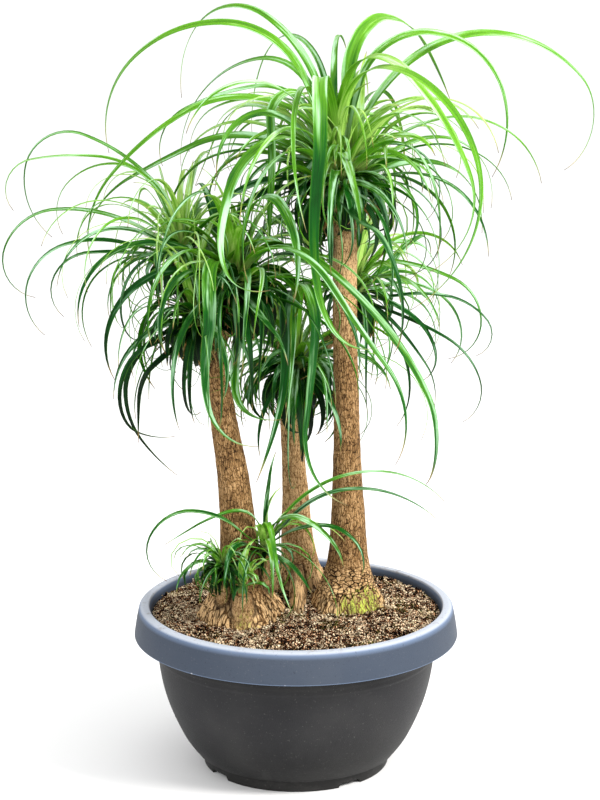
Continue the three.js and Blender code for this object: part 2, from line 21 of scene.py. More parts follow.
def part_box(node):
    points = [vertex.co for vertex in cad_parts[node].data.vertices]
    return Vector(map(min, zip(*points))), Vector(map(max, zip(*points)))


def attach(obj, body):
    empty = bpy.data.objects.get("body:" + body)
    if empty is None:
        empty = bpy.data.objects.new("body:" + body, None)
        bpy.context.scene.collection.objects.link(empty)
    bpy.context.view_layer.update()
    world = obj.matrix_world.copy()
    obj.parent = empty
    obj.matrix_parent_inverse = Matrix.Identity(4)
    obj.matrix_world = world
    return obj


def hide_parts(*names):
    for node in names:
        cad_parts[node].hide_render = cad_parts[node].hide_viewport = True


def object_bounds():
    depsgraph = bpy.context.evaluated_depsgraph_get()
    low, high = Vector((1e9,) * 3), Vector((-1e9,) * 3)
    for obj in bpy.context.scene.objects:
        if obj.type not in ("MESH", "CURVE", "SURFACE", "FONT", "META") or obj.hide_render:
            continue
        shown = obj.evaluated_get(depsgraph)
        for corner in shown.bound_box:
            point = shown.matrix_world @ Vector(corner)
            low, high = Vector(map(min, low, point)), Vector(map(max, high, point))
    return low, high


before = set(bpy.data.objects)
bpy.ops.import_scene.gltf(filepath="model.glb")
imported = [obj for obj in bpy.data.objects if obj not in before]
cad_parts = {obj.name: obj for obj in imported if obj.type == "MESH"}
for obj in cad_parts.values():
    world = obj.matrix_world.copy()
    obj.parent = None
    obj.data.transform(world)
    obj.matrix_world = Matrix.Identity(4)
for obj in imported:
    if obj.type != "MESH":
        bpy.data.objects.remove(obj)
CAD_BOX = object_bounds()

MM = 0.001
SOIL_TOP = 206.0  # height of the soil in the middle
SOIL_EDGE = 192.0  # and where it meets the bowl
MERGE = 1e-6  # metres within which points are one
GOLDEN_ANGLE = 137.5  # degrees from one leaf of a spiral to the next
QUARTERS = (0, 0.25, 0.5, 0.75, 1)  # shares of a leaf's length at which its slope is given
LEAF_NUMBERS = ("tone", "dry", "lift")  # what a leaf's mesh carries at its points
log = logging.getLogger("palm")

Span = tuple[float, float]
Triple = tuple[float, float, float]
Colour = tuple[float, float, float, float]
Limb = tuple[tuple[float, ...], ...]


class Slot(Enum):
    """Names of material slots."""

    BOWL = "bowl"
    SOIL = "soil"
    BARK = "bark"
    LEAF = "leaf"


def bowl_axis() -> Vector:
    """Where the bowl's axis stands in the frame, in metres."""
    low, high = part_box("bowl")
    return Vector(((low.x + high.x) / 2, (low.y + high.y) / 2, low.z))


AXIS = bowl_axis()


def placed(x: float, y: float, z: float) -> Vector:
    """A point given in millimetres from the bowl's axis, in the frame's metres."""
    return AXIS + Vector((x, y, z)) * MM


def polar(reach: float, angle: float) -> tuple[float, float]:
    """How far along X and Y a reach goes at an angle in radians."""
    return reach * math.cos(angle), reach * math.sin(angle)


def clamp(value: float, low: float = 0.0, high: float = 1.0) -> float:
    """The value, held between two limits."""
    return max(low, min(high, value))


def smooth(value: float, low: float, high: float) -> float:
    """A soft step from 0 at low to 1 at high.

    Args:
        value: where the step is read.
        low: where it starts, which may lie above high.
        high: where it ends.

    Returns:
        The height of the step, 0 to 1.
    """
    share = clamp((value - low) / (high - low))
    return share * share * (3 - 2 * share)


def mixed(ends: Span, share: float) -> float:
    """The value at a share of the way between two."""
    return ends[0] + (ends[1] - ends[0]) * share


def spline(points: Sequence[Sequence[float]], share: float) -> list[float]:
    """A point on a smooth curve through a run of points.

    Args:
        points: the points, all with the same number of values.
        share: how far along the run, 0 at the first point and 1 at the last.

    Returns:
        The values there.
    """
    spot = clamp(share) * (len(points) - 1)
    k = min(int(spot), len(points) - 2)
    t = spot - k
    before, start = points[max(k - 1, 0)], points[k]
    end, after = points[k + 1], points[min(k + 2, len(points) - 1)]
    return [
        b + 0.5 * t * (c - a + t * (2 * a - 5 * b + 4 * c - d + t * (3 * (b - c) + d - a)))
        for a, b, c, d in zip(before, start, end, after)
    ]


class Draws:
    """A run of even draws that is the same each time for the same seed."""

    MASK = 0xFFFFFFFF
    STRIDE = 0x6D2B79F5

    def __init__(self, seed: int) -> None:
        """Starts the run at a seed."""
        self.state = seed & self.MASK

    def next(self) -> float:
        """The next draw, from 0 to 1.

        Returns:
            The draw.
        """
        self.state = (self.state + self.STRIDE) & self.MASK
        state = self.state
        spread = ((state ^ (state >> 15)) * (state | 1)) & self.MASK
        spread ^= (spread + (((spread ^ (spread >> 7)) * (spread | 61)) & self.MASK)) & self.MASK
        return ((spread ^ (spread >> 14)) & self.MASK) / (self.MASK + 1)

    def jitter(self, size: float) -> float:
        """A draw from -size to size."""
        return size * (2 * self.next() - 1)

    def between(self, low: float, high: float) -> float:
        """A draw from low to high."""
        return mixed((low, high), self.next())


# Shading


Value = Any  # a number, a colour or a Wire


def srgb(red: int, green: int, blue: int) -> Colour:
    """A screen colour of 0 to 255 a channel as the linear colour that a shader takes.

    Args:
        red: the red channel.
        green: the green channel.
        blue: the blue channel.

    Returns:
        The colour, opaque.
    """
    def linear(level: int) -> float:
        """One channel."""
        part = level / 255
        return part / 12.92 if part <= 0.04045 else ((part + 0.055) / 1.055) ** 2.4

    return linear(red), linear(green), linear(blue), 1.0


class Wire:
    """A node's output that Python's operators work on."""

    def __init__(self, tree: "Shading", socket: bpy.types.NodeSocket) -> None:
        """Wraps a socket of a tree."""
        self.tree = tree
        self.socket = socket

    def __add__(self, other: Value) -> "Wire":
        """Sum."""
        return self.tree.math("ADD", self, other)

    __radd__ = __add__

    def __sub__(self, other: Value) -> "Wire":
        """Difference."""
        return self.tree.math("SUBTRACT", self, other)

    def __rsub__(self, other: Value) -> "Wire":
        """Difference from a number."""
        return self.tree.math("SUBTRACT", other, self)

    def __mul__(self, other: Value) -> "Wire":
        """Product."""
        return self.tree.math("MULTIPLY", self, other)

    __rmul__ = __mul__

    def __truediv__(self, other: Value) -> "Wire":
        """Quotient."""
        return self.tree.math("DIVIDE", self, other)

    def __abs__(self) -> "Wire":
        """Size without sign."""
        return self.tree.math("ABSOLUTE", self)


class Shading:
    """A material or a world, and the nodes that are added to it."""

    def __init__(self, owner: bpy.types.Material | bpy.types.World) -> None:
        """Empties its node tree.

        Args:
            owner: the material or world.
        """
        self.owner = owner
        owner.use_nodes = True
        self.nodes = owner.node_tree
        self.nodes.nodes.clear()

    @classmethod
    def material(cls, name: str) -> "Shading":
        """A new material."""
        return cls(bpy.data.materials.new(name))

    def add(self, kind: str, settings: dict | None = None, sockets: dict | None = None,
            output: int | str = 0) -> Wire:
        """Adds any node.

        Args:
            kind: the node's type.
            settings: its own properties, with a ramp's stops as pairs of place and colour under "stops".
            sockets: values or wires for its inputs, by name or number.
            output: which output to hand back.

        Returns:
            That output.
        """
        node = self.nodes.nodes.new(kind)
        for name, value in (settings or {}).items():
            if name == "stops":
                self.set_stops(node.color_ramp, value)
            else:
                setattr(node, name, value)
        for name, value in (sockets or {}).items():
            if isinstance(value, Wire):
                self.nodes.links.new(value.socket, node.inputs[name])
            else:
                node.inputs[name].default_value = value
        return Wire(self, node.outputs[output])

    @staticmethod
    def set_stops(ramp: bpy.types.ColorRamp, stops: Sequence[tuple[float, Colour]]) -> None:
        """Sets a ramp's stops.

        Args:
            ramp: the ramp.
            stops: pairs of place and colour.
        """
        while len(ramp.elements) < len(stops):
            ramp.elements.new(1.0)
        for element, (place, colour) in zip(ramp.elements, stops):
            element.position = place
            element.color = colour

    def math(self, operation: str, first: Value, second: Value = 0.0) -> Wire:
        """A Math node."""
        return self.add("ShaderNodeMath", {"operation": operation}, {0: first, 1: second})

    def mix(self, factor: Value, low: Value, high: Value) -> Wire:
        """A mix of two colours."""
        return self.add("ShaderNodeMix", {"data_type": "RGBA"}, {0: factor, 6: low, 7: high}, 2)

    def layered(self, colour: Value, *coats: tuple[Value, Value]) -> Wire:
        """A colour with others laid over it in turn, each with its factor before it.

        Args:
            colour: the colour at the bottom.
            coats: pairs of factor and colour, from the bottom up.

        Returns:
            The colour on top.
        """
        for factor, coat in coats:
            colour = self.mix(factor, colour, coat)
        return colour

    def ramp(self, factor: Value, *stops: tuple[float, Colour]) -> Wire:
        """A colour ramp."""
        return self.add("ShaderNodeValToRGB", {"stops": stops}, {0: factor})

    def step(self, value: Value, low: float, high: float) -> Wire:
        """A soft step from 0 at low to 1 at high, where low is under high."""
        return self.add("ShaderNodeMapRange", {"interpolation_type": "SMOOTHSTEP"},
                        {"Value": value, "From Min": low, "From Max": high})

    def fall(self, value: Value, low: float, high: float) -> Wire:
        """A soft step from 1 at low to 0 at high."""
        return 1 - self.step(value, low, high)

    def point(self) -> Wire:
        """The place on the piece, in metres."""
        return self.add("ShaderNodeTexCoord", output="Object")

    def split(self, vector: Wire) -> tuple[Wire, ...]:
        """A vector's three parts."""
        node = self.add("ShaderNodeSeparateXYZ", {}, {0: vector}).socket.node
        return tuple(Wire(self, part) for part in node.outputs)

    def join(self, x: Value, y: Value, z: Value) -> Wire:
        """A vector from three parts."""
        return self.add("ShaderNodeCombineXYZ", {}, {0: x, 1: y, 2: z})

    def scaled(self, vector: Wire, scale: Triple) -> Wire:
        """A vector times a scale for each axis."""
        return self.add("ShaderNodeVectorMath", {"operation": "MULTIPLY"}, {0: vector, 1: scale})

    def noise(self, vector: Wire, scale: float, detail: float = 4.0, roughness: float = 0.55) -> Wire:
        """Cloudy noise of about 0 to 1."""
        return self.add("ShaderNodeTexNoise", {}, {"Vector": vector, "Scale": scale, "Detail": detail,
                                                   "Roughness": roughness})

    def edges(self, vector: Wire, scale: float) -> Wire:
        """Distance from the edges of a pattern of cells."""
        return self.add("ShaderNodeTexVoronoi", {"feature": "DISTANCE_TO_EDGE"},
                        {"Vector": vector, "Scale": scale}, "Distance")

    def attribute(self, name: str) -> Wire:
        """A number stored at the mesh's points."""
        return self.add("ShaderNodeAttribute", {"attribute_name": name}, output="Fac")

    def bump(self, height: Wire, distance: float, strength: float = 1.0) -> Wire:
        """A normal tilted by a height."""
        return self.add("ShaderNodeBump", {}, {"Height": height, "Distance": distance, "Strength": strength})

    def warped(self, vector: Wire, scale: float, reach: float) -> Wire:
        """A vector pushed about by cloudy noise.

        Args:
            vector: the vector.
            scale: the noise's scale.
            reach: how far the noise pushes at most.

        Returns:
            The new vector.
        """
        push = self.add("ShaderNodeTexNoise", {}, {"Vector": vector, "Scale": scale, "Detail": 3.0}, "Color")
        return self.add("ShaderNodeVectorMath", {"operation": "MULTIPLY_ADD"},
                        {0: push, 1: (reach, reach, reach), 2: vector})

    def finish(self, shader: Wire) -> bpy.types.Material | bpy.types.World:
        """Joins a shader to the output.

        Args:
            shader: the shader.

        Returns:
            The finished material or world.
        """
        kind = "World" if isinstance(self.owner, bpy.types.World) else "Material"
        output = self.nodes.nodes.new("ShaderNodeOutput" + kind)
        self.nodes.links.new(shader.socket, output.inputs["Surface"])
        return self.owner

    def surface(self, colour: Value, roughness: Value, specular: float, normal: Wire) -> bpy.types.Material:
        """Joins a surface without metal or coat to the output.

        Args:
            colour: its colour.
            roughness: how matt it is.
            specular: how strongly it mirrors.
            normal: the normal with its bumps.

        Returns:
            The finished material.
        """
        return self.finish(self.add("ShaderNodeBsdfPrincipled", {}, {
            "Base Color": colour, "Roughness": roughness, "Specular IOR Level": specular, "Normal": normal,
        }))


@dataclass(frozen=True)
class BowlFinish:
    """Moulded matt plastic: anthracite below, a slate rim band over it, and a dusty pale lip.

    The band carries painted highlights along its top and bottom edges, and the body painted shade under the
    skirt and towards the foot.
    """

    body: Colour = srgb(24, 24, 27)
    # colour of the painted shade under the skirt and towards the foot
    painted_shade: Colour = srgb(5, 5, 6)
    band: Colour = srgb(54, 63, 77)
    # painted highlight for the band's top and bottom edges
    painted_sheen: Colour = srgb(104, 122, 150)
    lip: Colour = srgb(172, 178, 189)
    dust: Colour = srgb(128, 126, 122)
    soiling: Colour = srgb(104, 84, 66)
    speck: Colour = srgb(30, 34, 42)
    nick: Colour = srgb(205, 208, 212)
    band_bottom: float = 0.1660
    lip_level: float = 0.2028

    def build(self) -> bpy.types.Material:
        """The material.

        Returns:
            The material.
        """
        shade = Shading.material("bowl_plastic")
        point = shade.point()
        _, _, height = shade.split(point)
        cloud = shade.noise(point, 9, 5)
        wear = shade.noise(shade.scaled(point, (1, 1, 4)), 60, 6, 0.7)
        grain = shade.noise(point, 900, 2, 0.6)
        pits = shade.noise(point, 420, 2, 0.5)
        in_band = shade.step(height, self.band_bottom - 0.0006, self.band_bottom + 0.0002)
        on_lip = shade.step(height, self.lip_level - 0.0022, self.lip_level + 0.0004)
        rise = (height - self.band_bottom) / (self.lip_level - self.band_bottom)
        # Painted highlights: the band turns pale at its top and bottom edges.
        band = shade.ramp(rise, (0.0, self.painted_sheen), (0.04, self.band), (0.80, self.band), (1.0, self.painted_sheen))
        # Painted shade: the body darkens under the skirt and towards the foot.
        under = shade.step(height, self.band_bottom - 0.030, self.band_bottom - 0.004)
        low = shade.fall(height, 0.015, 0.100)
        soiled = shade.step(shade.noise(point, 70, 5, 0.7), 0.54, 0.68)
        at_edge = shade.fall(height, self.band_bottom + 0.0008, self.band_bottom + 0.0020)
        nicked = shade.step(shade.noise(point, 110, 4, 0.7), 0.64, 0.70)
        dusty = shade.fall(shade.noise(point, 35, 4, 0.6) + height * 9, 0.50, 0.70)
        colour = shade.layered(
            shade.mix(under * 0.8 + low, self.body, self.painted_shade),
            (in_band, band),
            (on_lip, self.lip),
            (shade.step(cloud, 0.35, 0.75) * 0.06, self.dust),
            (shade.step(wear, 0.60, 0.78) * 0.08, self.dust),
            (shade.step(pits, 0.66, 0.70) * (0.10 + in_band * 0.25), self.speck),
            (shade.step(1 - pits, 0.68, 0.71) * 0.14, self.dust),
            (soiled * shade.step(height, 0.1990, 0.2045) * 0.4, self.soiling),
            (at_edge * nicked * in_band * 0.7, self.nick),
            (dusty * 0.05, self.dust))
        return shade.surface(colour, 0.44 + cloud * 0.14 + wear * 0.08, 0.22,
                             shade.bump(grain + wear * 0.5, 0.00022))


@dataclass(frozen=True)
class SoilFinish:
    """Coarse coir and peat: grit of every tone from painted black shade in the gaps between grains to pale
    chips.
    """

    dark: Colour = srgb(12, 6, 4)
    brown: Colour = srgb(94, 52, 34)
    tan: Colour = srgb(204, 146, 102)
    pale: Colour = srgb(255, 236, 200)
    algae: Colour = srgb(132, 138, 62)

    def build(self) -> bpy.types.Material:
        """The material.

        Returns:
            The material.
        """
        shade = Shading.material("coir_and_peat")
        point = shade.point()
        tone = shade.attribute("tone")
        bent = shade.warped(point, 200, 0.005)
        fine = shade.noise(point, 380, 4, 0.75)
        fibre = shade.noise(shade.scaled(bent, (1, 0.3, 1)), 700, 3, 0.6)
        cloud = shade.noise(point, 38, 5, 0.65)
        grains = shade.add("ShaderNodeTexVoronoi", {}, {"Vector": bent, "Scale": 330.0}, "Color")
        grit, _, _ = shade.split(grains)
        # Painted shade in the gaps between grains.
        painted_gap_shade = shade.fall(shade.edges(bent, 330), 0.02, 0.22)
        level = tone * 0.58 + grit * 0.50 + fine * 0.95 + fibre * 0.72 + cloud * 1.50 - 1.42 - painted_gap_shade * 0.70
        colour = shade.ramp(level, (0.24, self.dark), (0.40, self.brown), (0.56, self.tan),
                            (0.78, self.pale))
        green = shade.step(shade.noise(point, 26, 5, 0.7), 0.50, 0.66) * shade.step(fine, 0.42, 0.62)
        colour = shade.mix(green * 0.55, colour, self.algae)
        return shade.surface(colour, 0.84 + fine * 0.14, 0.06, shade.bump(fine + fibre - painted_gap_shade, 0.0014))


@dataclass(frozen=True)
class BarkFinish:
    """Tan bark with a net of upright fissures, dark cracks where it is swollen, and yellow-green moss.

    The mesh carries the grain, which runs along each limb, and how cracked, mossy and pale it is. The cracks
    include painted shade in the creases where limbs meet, and the paleness painted light up towards the
    crowns.
    """

    pale: Colour = srgb(222, 184, 134)
    tan: Colour = srgb(140, 106, 66)
    brown: Colour = srgb(82, 58, 34)
    crevice: Colour = srgb(26, 18, 10)
    moss: Colour = srgb(196, 214, 80)
    deep_moss: Colour = srgb(56, 74, 12)

    def build(self) -> bpy.types.Material:
        """The material.

        Returns:
            The material.
        """
        shade = Shading.material("palm_bark")
        point = shade.point()
        grain = shade.add("ShaderNodeAttribute", {"attribute_name": "grain"}, output="Vector")
        bent = shade.warped(grain, 90, 0.006)
        crack = shade.attribute("crack")
        foot = shade.attribute("foot")
        neck = shade.attribute("neck")
        streak = shade.noise(shade.scaled(bent, (1, 1, 0.16)), 420, 5, 0.75)
        net = shade.edges(shade.scaled(bent, (1, 1, 0.36)), 330)
        furrow = shade.edges(shade.scaled(bent, (1, 1, 0.16)), 280)
        blocks = shade.edges(shade.scaled(bent, (0.8, 0.8, 1.7)), 165)
        rings = shade.noise(shade.scaled(bent, (0.12, 0.12, 1)), 340, 4, 0.7)
        fine = shade.noise(point, 900, 4, 0.8)
        cloud = shade.noise(point, 34, 4, 0.6)
        lines = shade.fall(net, 0.0, 0.12) * (1 - neck * 0.6) * (1 - foot * 0.6) * 0.25
        fissures = shade.fall(furrow, 0.01, 0.14) * (0.14 + foot * 0.34)
        cracks = shade.fall(blocks, 0.02, 0.12) * neck * 0.6
        ticks = shade.step(rings, 0.53, 0.66) * 0.10
        # the tint includes painted light up towards the crowns
        level = streak * 0.60 + cloud * 0.40 + fine * 0.48 + shade.attribute("tint") * 0.30
        level = level + foot * 0.26 + neck * 0.10 - 0.05 - lines - fissures - cracks - ticks
        patchy = (fine - 0.5) * 1.1 + (streak - 0.5) * 1.6 - fissures * 1.6 - crack * 0.5
        damp = shade.attribute("moss") + patchy
        green = shade.mix(shade.step(fine + streak, 0.88, 1.16), self.deep_moss, self.moss)
        colour = shade.layered(
            shade.ramp(level, (0.24, self.crevice), (0.44, self.brown), (0.64, self.tan), (0.94, self.pale)),
            # cracks, with painted shade in the creases where limbs meet
            (shade.step(crack, 0.30, 1.0) * 0.65, self.crevice),
            (shade.step(damp, 0.30, 0.75) * 0.85, green))
        return shade.surface(colour, 0.74 + fine * 0.2, 0.1, shade.bump(level, 0.0020))


class Side(Enum):
    """The two sides of a blade, in the order of a leaf's material slots."""

    UPPER = "upper"
    UNDER = "under"


@dataclass(frozen=True)
class LeafFinish:
    """A leaf blade, waxy above and paler below.

    The mesh carries its tone, old to fresh, how dry it is, how far its upper side faces up, and its map from
    root to tip. Each side is painted lighter where it faces up, the upper side also with a painted
    reflection, and older leaves carry painted shade near their roots.
    """

    old: Colour = srgb(2, 24, 4)
    green: Colour = srgb(30, 96, 6)
    waxy: Colour = srgb(14, 82, 18)
    young: Colour = srgb(96, 158, 30)
    fresh: Colour = srgb(180, 218, 110)
    # painted reflection of the sky on the upper side
    painted_sheen: Colour = srgb(186, 228, 196)
    root: Colour = srgb(204, 222, 130)
    straw: Colour = srgb(180, 146, 92)
    husk: Colour = srgb(146, 88, 42)
    tip: Colour = srgb(96, 56, 50)

    def build(self, side: Side) -> bpy.types.Material:
        """The material of one side.

        Args:
            side: the side.

        Returns:
            The material.
        """
        above = side is Side.UPPER
        shade = Shading.material(f"palm_leaf_{side.value}")
        across, along, _ = shade.split(shade.add("ShaderNodeTexCoord", output="UV"))
        tone = shade.attribute("tone")
        dry = shade.attribute("dry")
        lift = shade.attribute("lift")
        margin = abs(across - 0.5) * 2
        veins = shade.noise(shade.join(across * 26, along * 1.6, tone * 40), 1.0, 3, 0.7)
        patches = shade.noise(shade.join(across * 2, along * 7, tone * 63), 1.0, 3, 0.6)
        streaks = shade.noise(shade.join(across * 1.6, along * 2.8, tone * 90), 1.0, 3, 0.6)
        level = tone + (veins - 0.5) * 0.50 + (patches - 0.5) * 0.45 + (streaks - 0.5) * 0.9
        # Painted light: each side is lighter where it faces up and darker where it faces down.
        level = level + (lift * 0.20 - 0.12 if above else 0.10 - lift * 0.12)
        middle = self.waxy if above else self.green
        colour = shade.ramp(level, (0.05, self.old), (0.42, middle), (0.74, self.young), (1.0, self.fresh))
        if above:
            # Painted reflection: pale streaks on the upper side of fresher leaves, strongest where it faces
            # up.
            painted_reflection_mask = shade.step(streaks + (patches - 0.5) * 0.5, 0.48, 0.66) * shade.step(tone, 0.22, 0.50)
            colour = shade.mix(painted_reflection_mask * shade.step(lift, -0.7, 0.7) * 0.74, colour, self.painted_sheen)
        pale = shade.fall(along, 0.0, 0.18) * shade.step(tone, 0.3, 0.7)
        # Painted shade near the roots of older leaves, inside the head.
        painted_root_shade = shade.fall(along, 0.05, 0.5) * shade.fall(tone, 0.30, 0.55)
        wither = shade.step(along + (patches - 0.5) * 0.05 + dry * 1.2, 0.90, 1.0)
        colour = shade.layered(
            colour,
            (shade.step(margin, 0.86, 1.0) * 0.3, self.young),
            (shade.fall(margin, 0.0, 0.16) * 0.25, self.old),
            (pale * 0.8, self.root),
            (painted_root_shade * 0.85, self.old),
            (wither * 0.85, shade.mix(shade.step(along, 0.95, 1.0), self.straw, self.tip)),
            (shade.step(dry, 0.5, 1.0), shade.mix(veins, self.husk, self.straw)))
        roughness = (0.26 if above else 0.42) + patches * 0.16 + wither * 0.3
        return shade.surface(colour, roughness, 0.10 if above else 0.04,
                             shade.bump(veins + streaks, 0.0012, 0.7))


@dataclass(frozen=True)
class FloorFinish:
    """A plain pale floor."""

    colour: Colour = (0.86, 0.86, 0.86, 1.0)

    def build(self) -> bpy.types.Material:
        """The material."""
        shade = Shading.material("pale_floor")
        surface = shade.add("ShaderNodeBsdfPrincipled", {}, {"Base Color": self.colour, "Roughness": 0.9})
        return shade.finish(surface)


# Mesh helpers


def shade_smooth(mesh: bpy.types.Mesh) -> None:
    """Shades all of a mesh's faces smooth."""
    mesh.polygons.foreach_set("use_smooth", [True] * len(mesh.polygons))


def close_ends(bm: bmesh.types.BMesh) -> None:
    """Fills a mesh's open ends."""
    bmesh.ops.holes_fill(bm, edges=[edge for edge in bm.edges if edge.is_boundary])


def object_from(bm: bmesh.types.BMesh, name: str, material: bpy.types.Material) -> bpy.types.Object:
    """An object of the mesh, at the origin, shaded smooth.

    Args:
        bm: the mesh, which is freed.
        name: the object's name.
        material: its finish.

    Returns:
        The object, in the scene.
    """
    mesh = bpy.data.meshes.new(name)
    bm.to_mesh(mesh)
    bm.free()
    mesh.materials.append(material)
    shade_smooth(mesh)
    made = bpy.data.objects.new(name, mesh)
    bpy.context.scene.collection.objects.link(made)
    return made


def applied(piece: bpy.types.Object) -> None:
    """Bakes a piece's modifiers into its mesh.

    Args:
        piece: the piece.
    """
    graph = bpy.context.evaluated_depsgraph_get()
    mesh = bpy.data.meshes.new_from_object(piece.evaluated_get(graph))
    old = piece.data
    piece.modifiers.clear()
    piece.data = mesh
    bpy.data.meshes.remove(old)


def seated(piece: bpy.types.Object, slot: Slot, *nodes: str) -> None:
    """Lets a piece ride on the body and stand for its nodes.

    Args:
        piece: the piece.
        slot: a material slot; not used.
        nodes: the solids that it replaces.
    """
    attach(piece, "root")
    if nodes:
        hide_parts(*nodes)
    log.info("%s: %d faces", piece.name, len(piece.data.polygons))


LOT = 60  # small shapes that are made together before they join the rest


def blank(numbers: Sequence[str]) -> bmesh.types.BMesh:
    """An empty mesh with a map along each leaf and some numbers at each point.

    Args:
        numbers: the names of the numbers.

    Returns:
        The mesh.
    """
    bm = bmesh.new()
    bm.loops.layers.uv.new("leaf")
    for name in numbers:
        bm.verts.layers.float.new(name)
    return bm


def gathered(jobs: Sequence[Callable[[bmesh.types.BMesh], None]], *numbers: str) -> bmesh.types.BMesh:
    """Many small shapes in one mesh, made in lots, because an operator slows down as its mesh grows.

    Args:
        jobs: each adds one shape to the mesh that it is given.
        numbers: the names of the numbers at each point.

    Returns:
        The mesh.
    """
    whole = blank(numbers)
    for first in range(0, len(jobs), LOT):
        lot = blank(numbers)
        for job in jobs[first:first + LOT]:
            job(lot)
        bmesh.ops.remove_doubles(lot, verts=lot.verts, dist=MERGE)
        mesh = bpy.data.meshes.new("lot")
        lot.to_mesh(mesh)
        lot.free()
        whole.from_mesh(mesh)
        bpy.data.meshes.remove(mesh)
    return whole


def spun(outline: Sequence[tuple[float, float]], sides: int) -> bmesh.types.BMesh:
    """A body of revolution about the bowl's axis.

    Args:
        outline: points of radius and height in millimetres, which start and end on the axis.
        sides: steps in a full turn.

    Returns:
        The closed mesh, facing out.
    """
    bm = bmesh.new()
    verts = [bm.verts.new(placed(radius, 0, height)) for radius, height in outline]
    edges = [bm.edges.new(pair) for pair in zip(verts, verts[1:])]
    bmesh.ops.spin(bm, geom=verts + edges, cent=AXIS, axis=(0, 0, 1), angle=2 * math.pi, steps=sides,
                   use_merge=True)
    bmesh.ops.remove_doubles(bm, verts=bm.verts, dist=MERGE)
    bmesh.ops.recalc_face_normals(bm, faces=bm.faces)
    return bm


def rounded(points: Sequence[Sequence[float]], steps: int = 4) -> list[tuple[float, float]]:
    """An outline whose corners are turned into arcs.

    Args:
        points: radius, height and, where the corner is rounded, the arc's reach along its sides.
        steps: runs in each arc.

    Returns:
        Points of radius and height.
    """
    outline = []
    for k, (radius, height, *reach) in enumerate(points):
        corner = Vector((radius, height))
        if not reach:
            outline.append((radius, height))
            continue
        before = Vector(points[k - 1][:2])
        after = Vector(points[k + 1][:2])
        start = corner + (before - corner).normalized() * reach[0]
        end = corner + (after - corner).normalized() * reach[0]
        for i in range(steps + 1):
            t = i / steps
            outline.append(tuple((1 - t) ** 2 * start + 2 * t * (1 - t) * corner + t * t * end))
    return outline


# Bowl


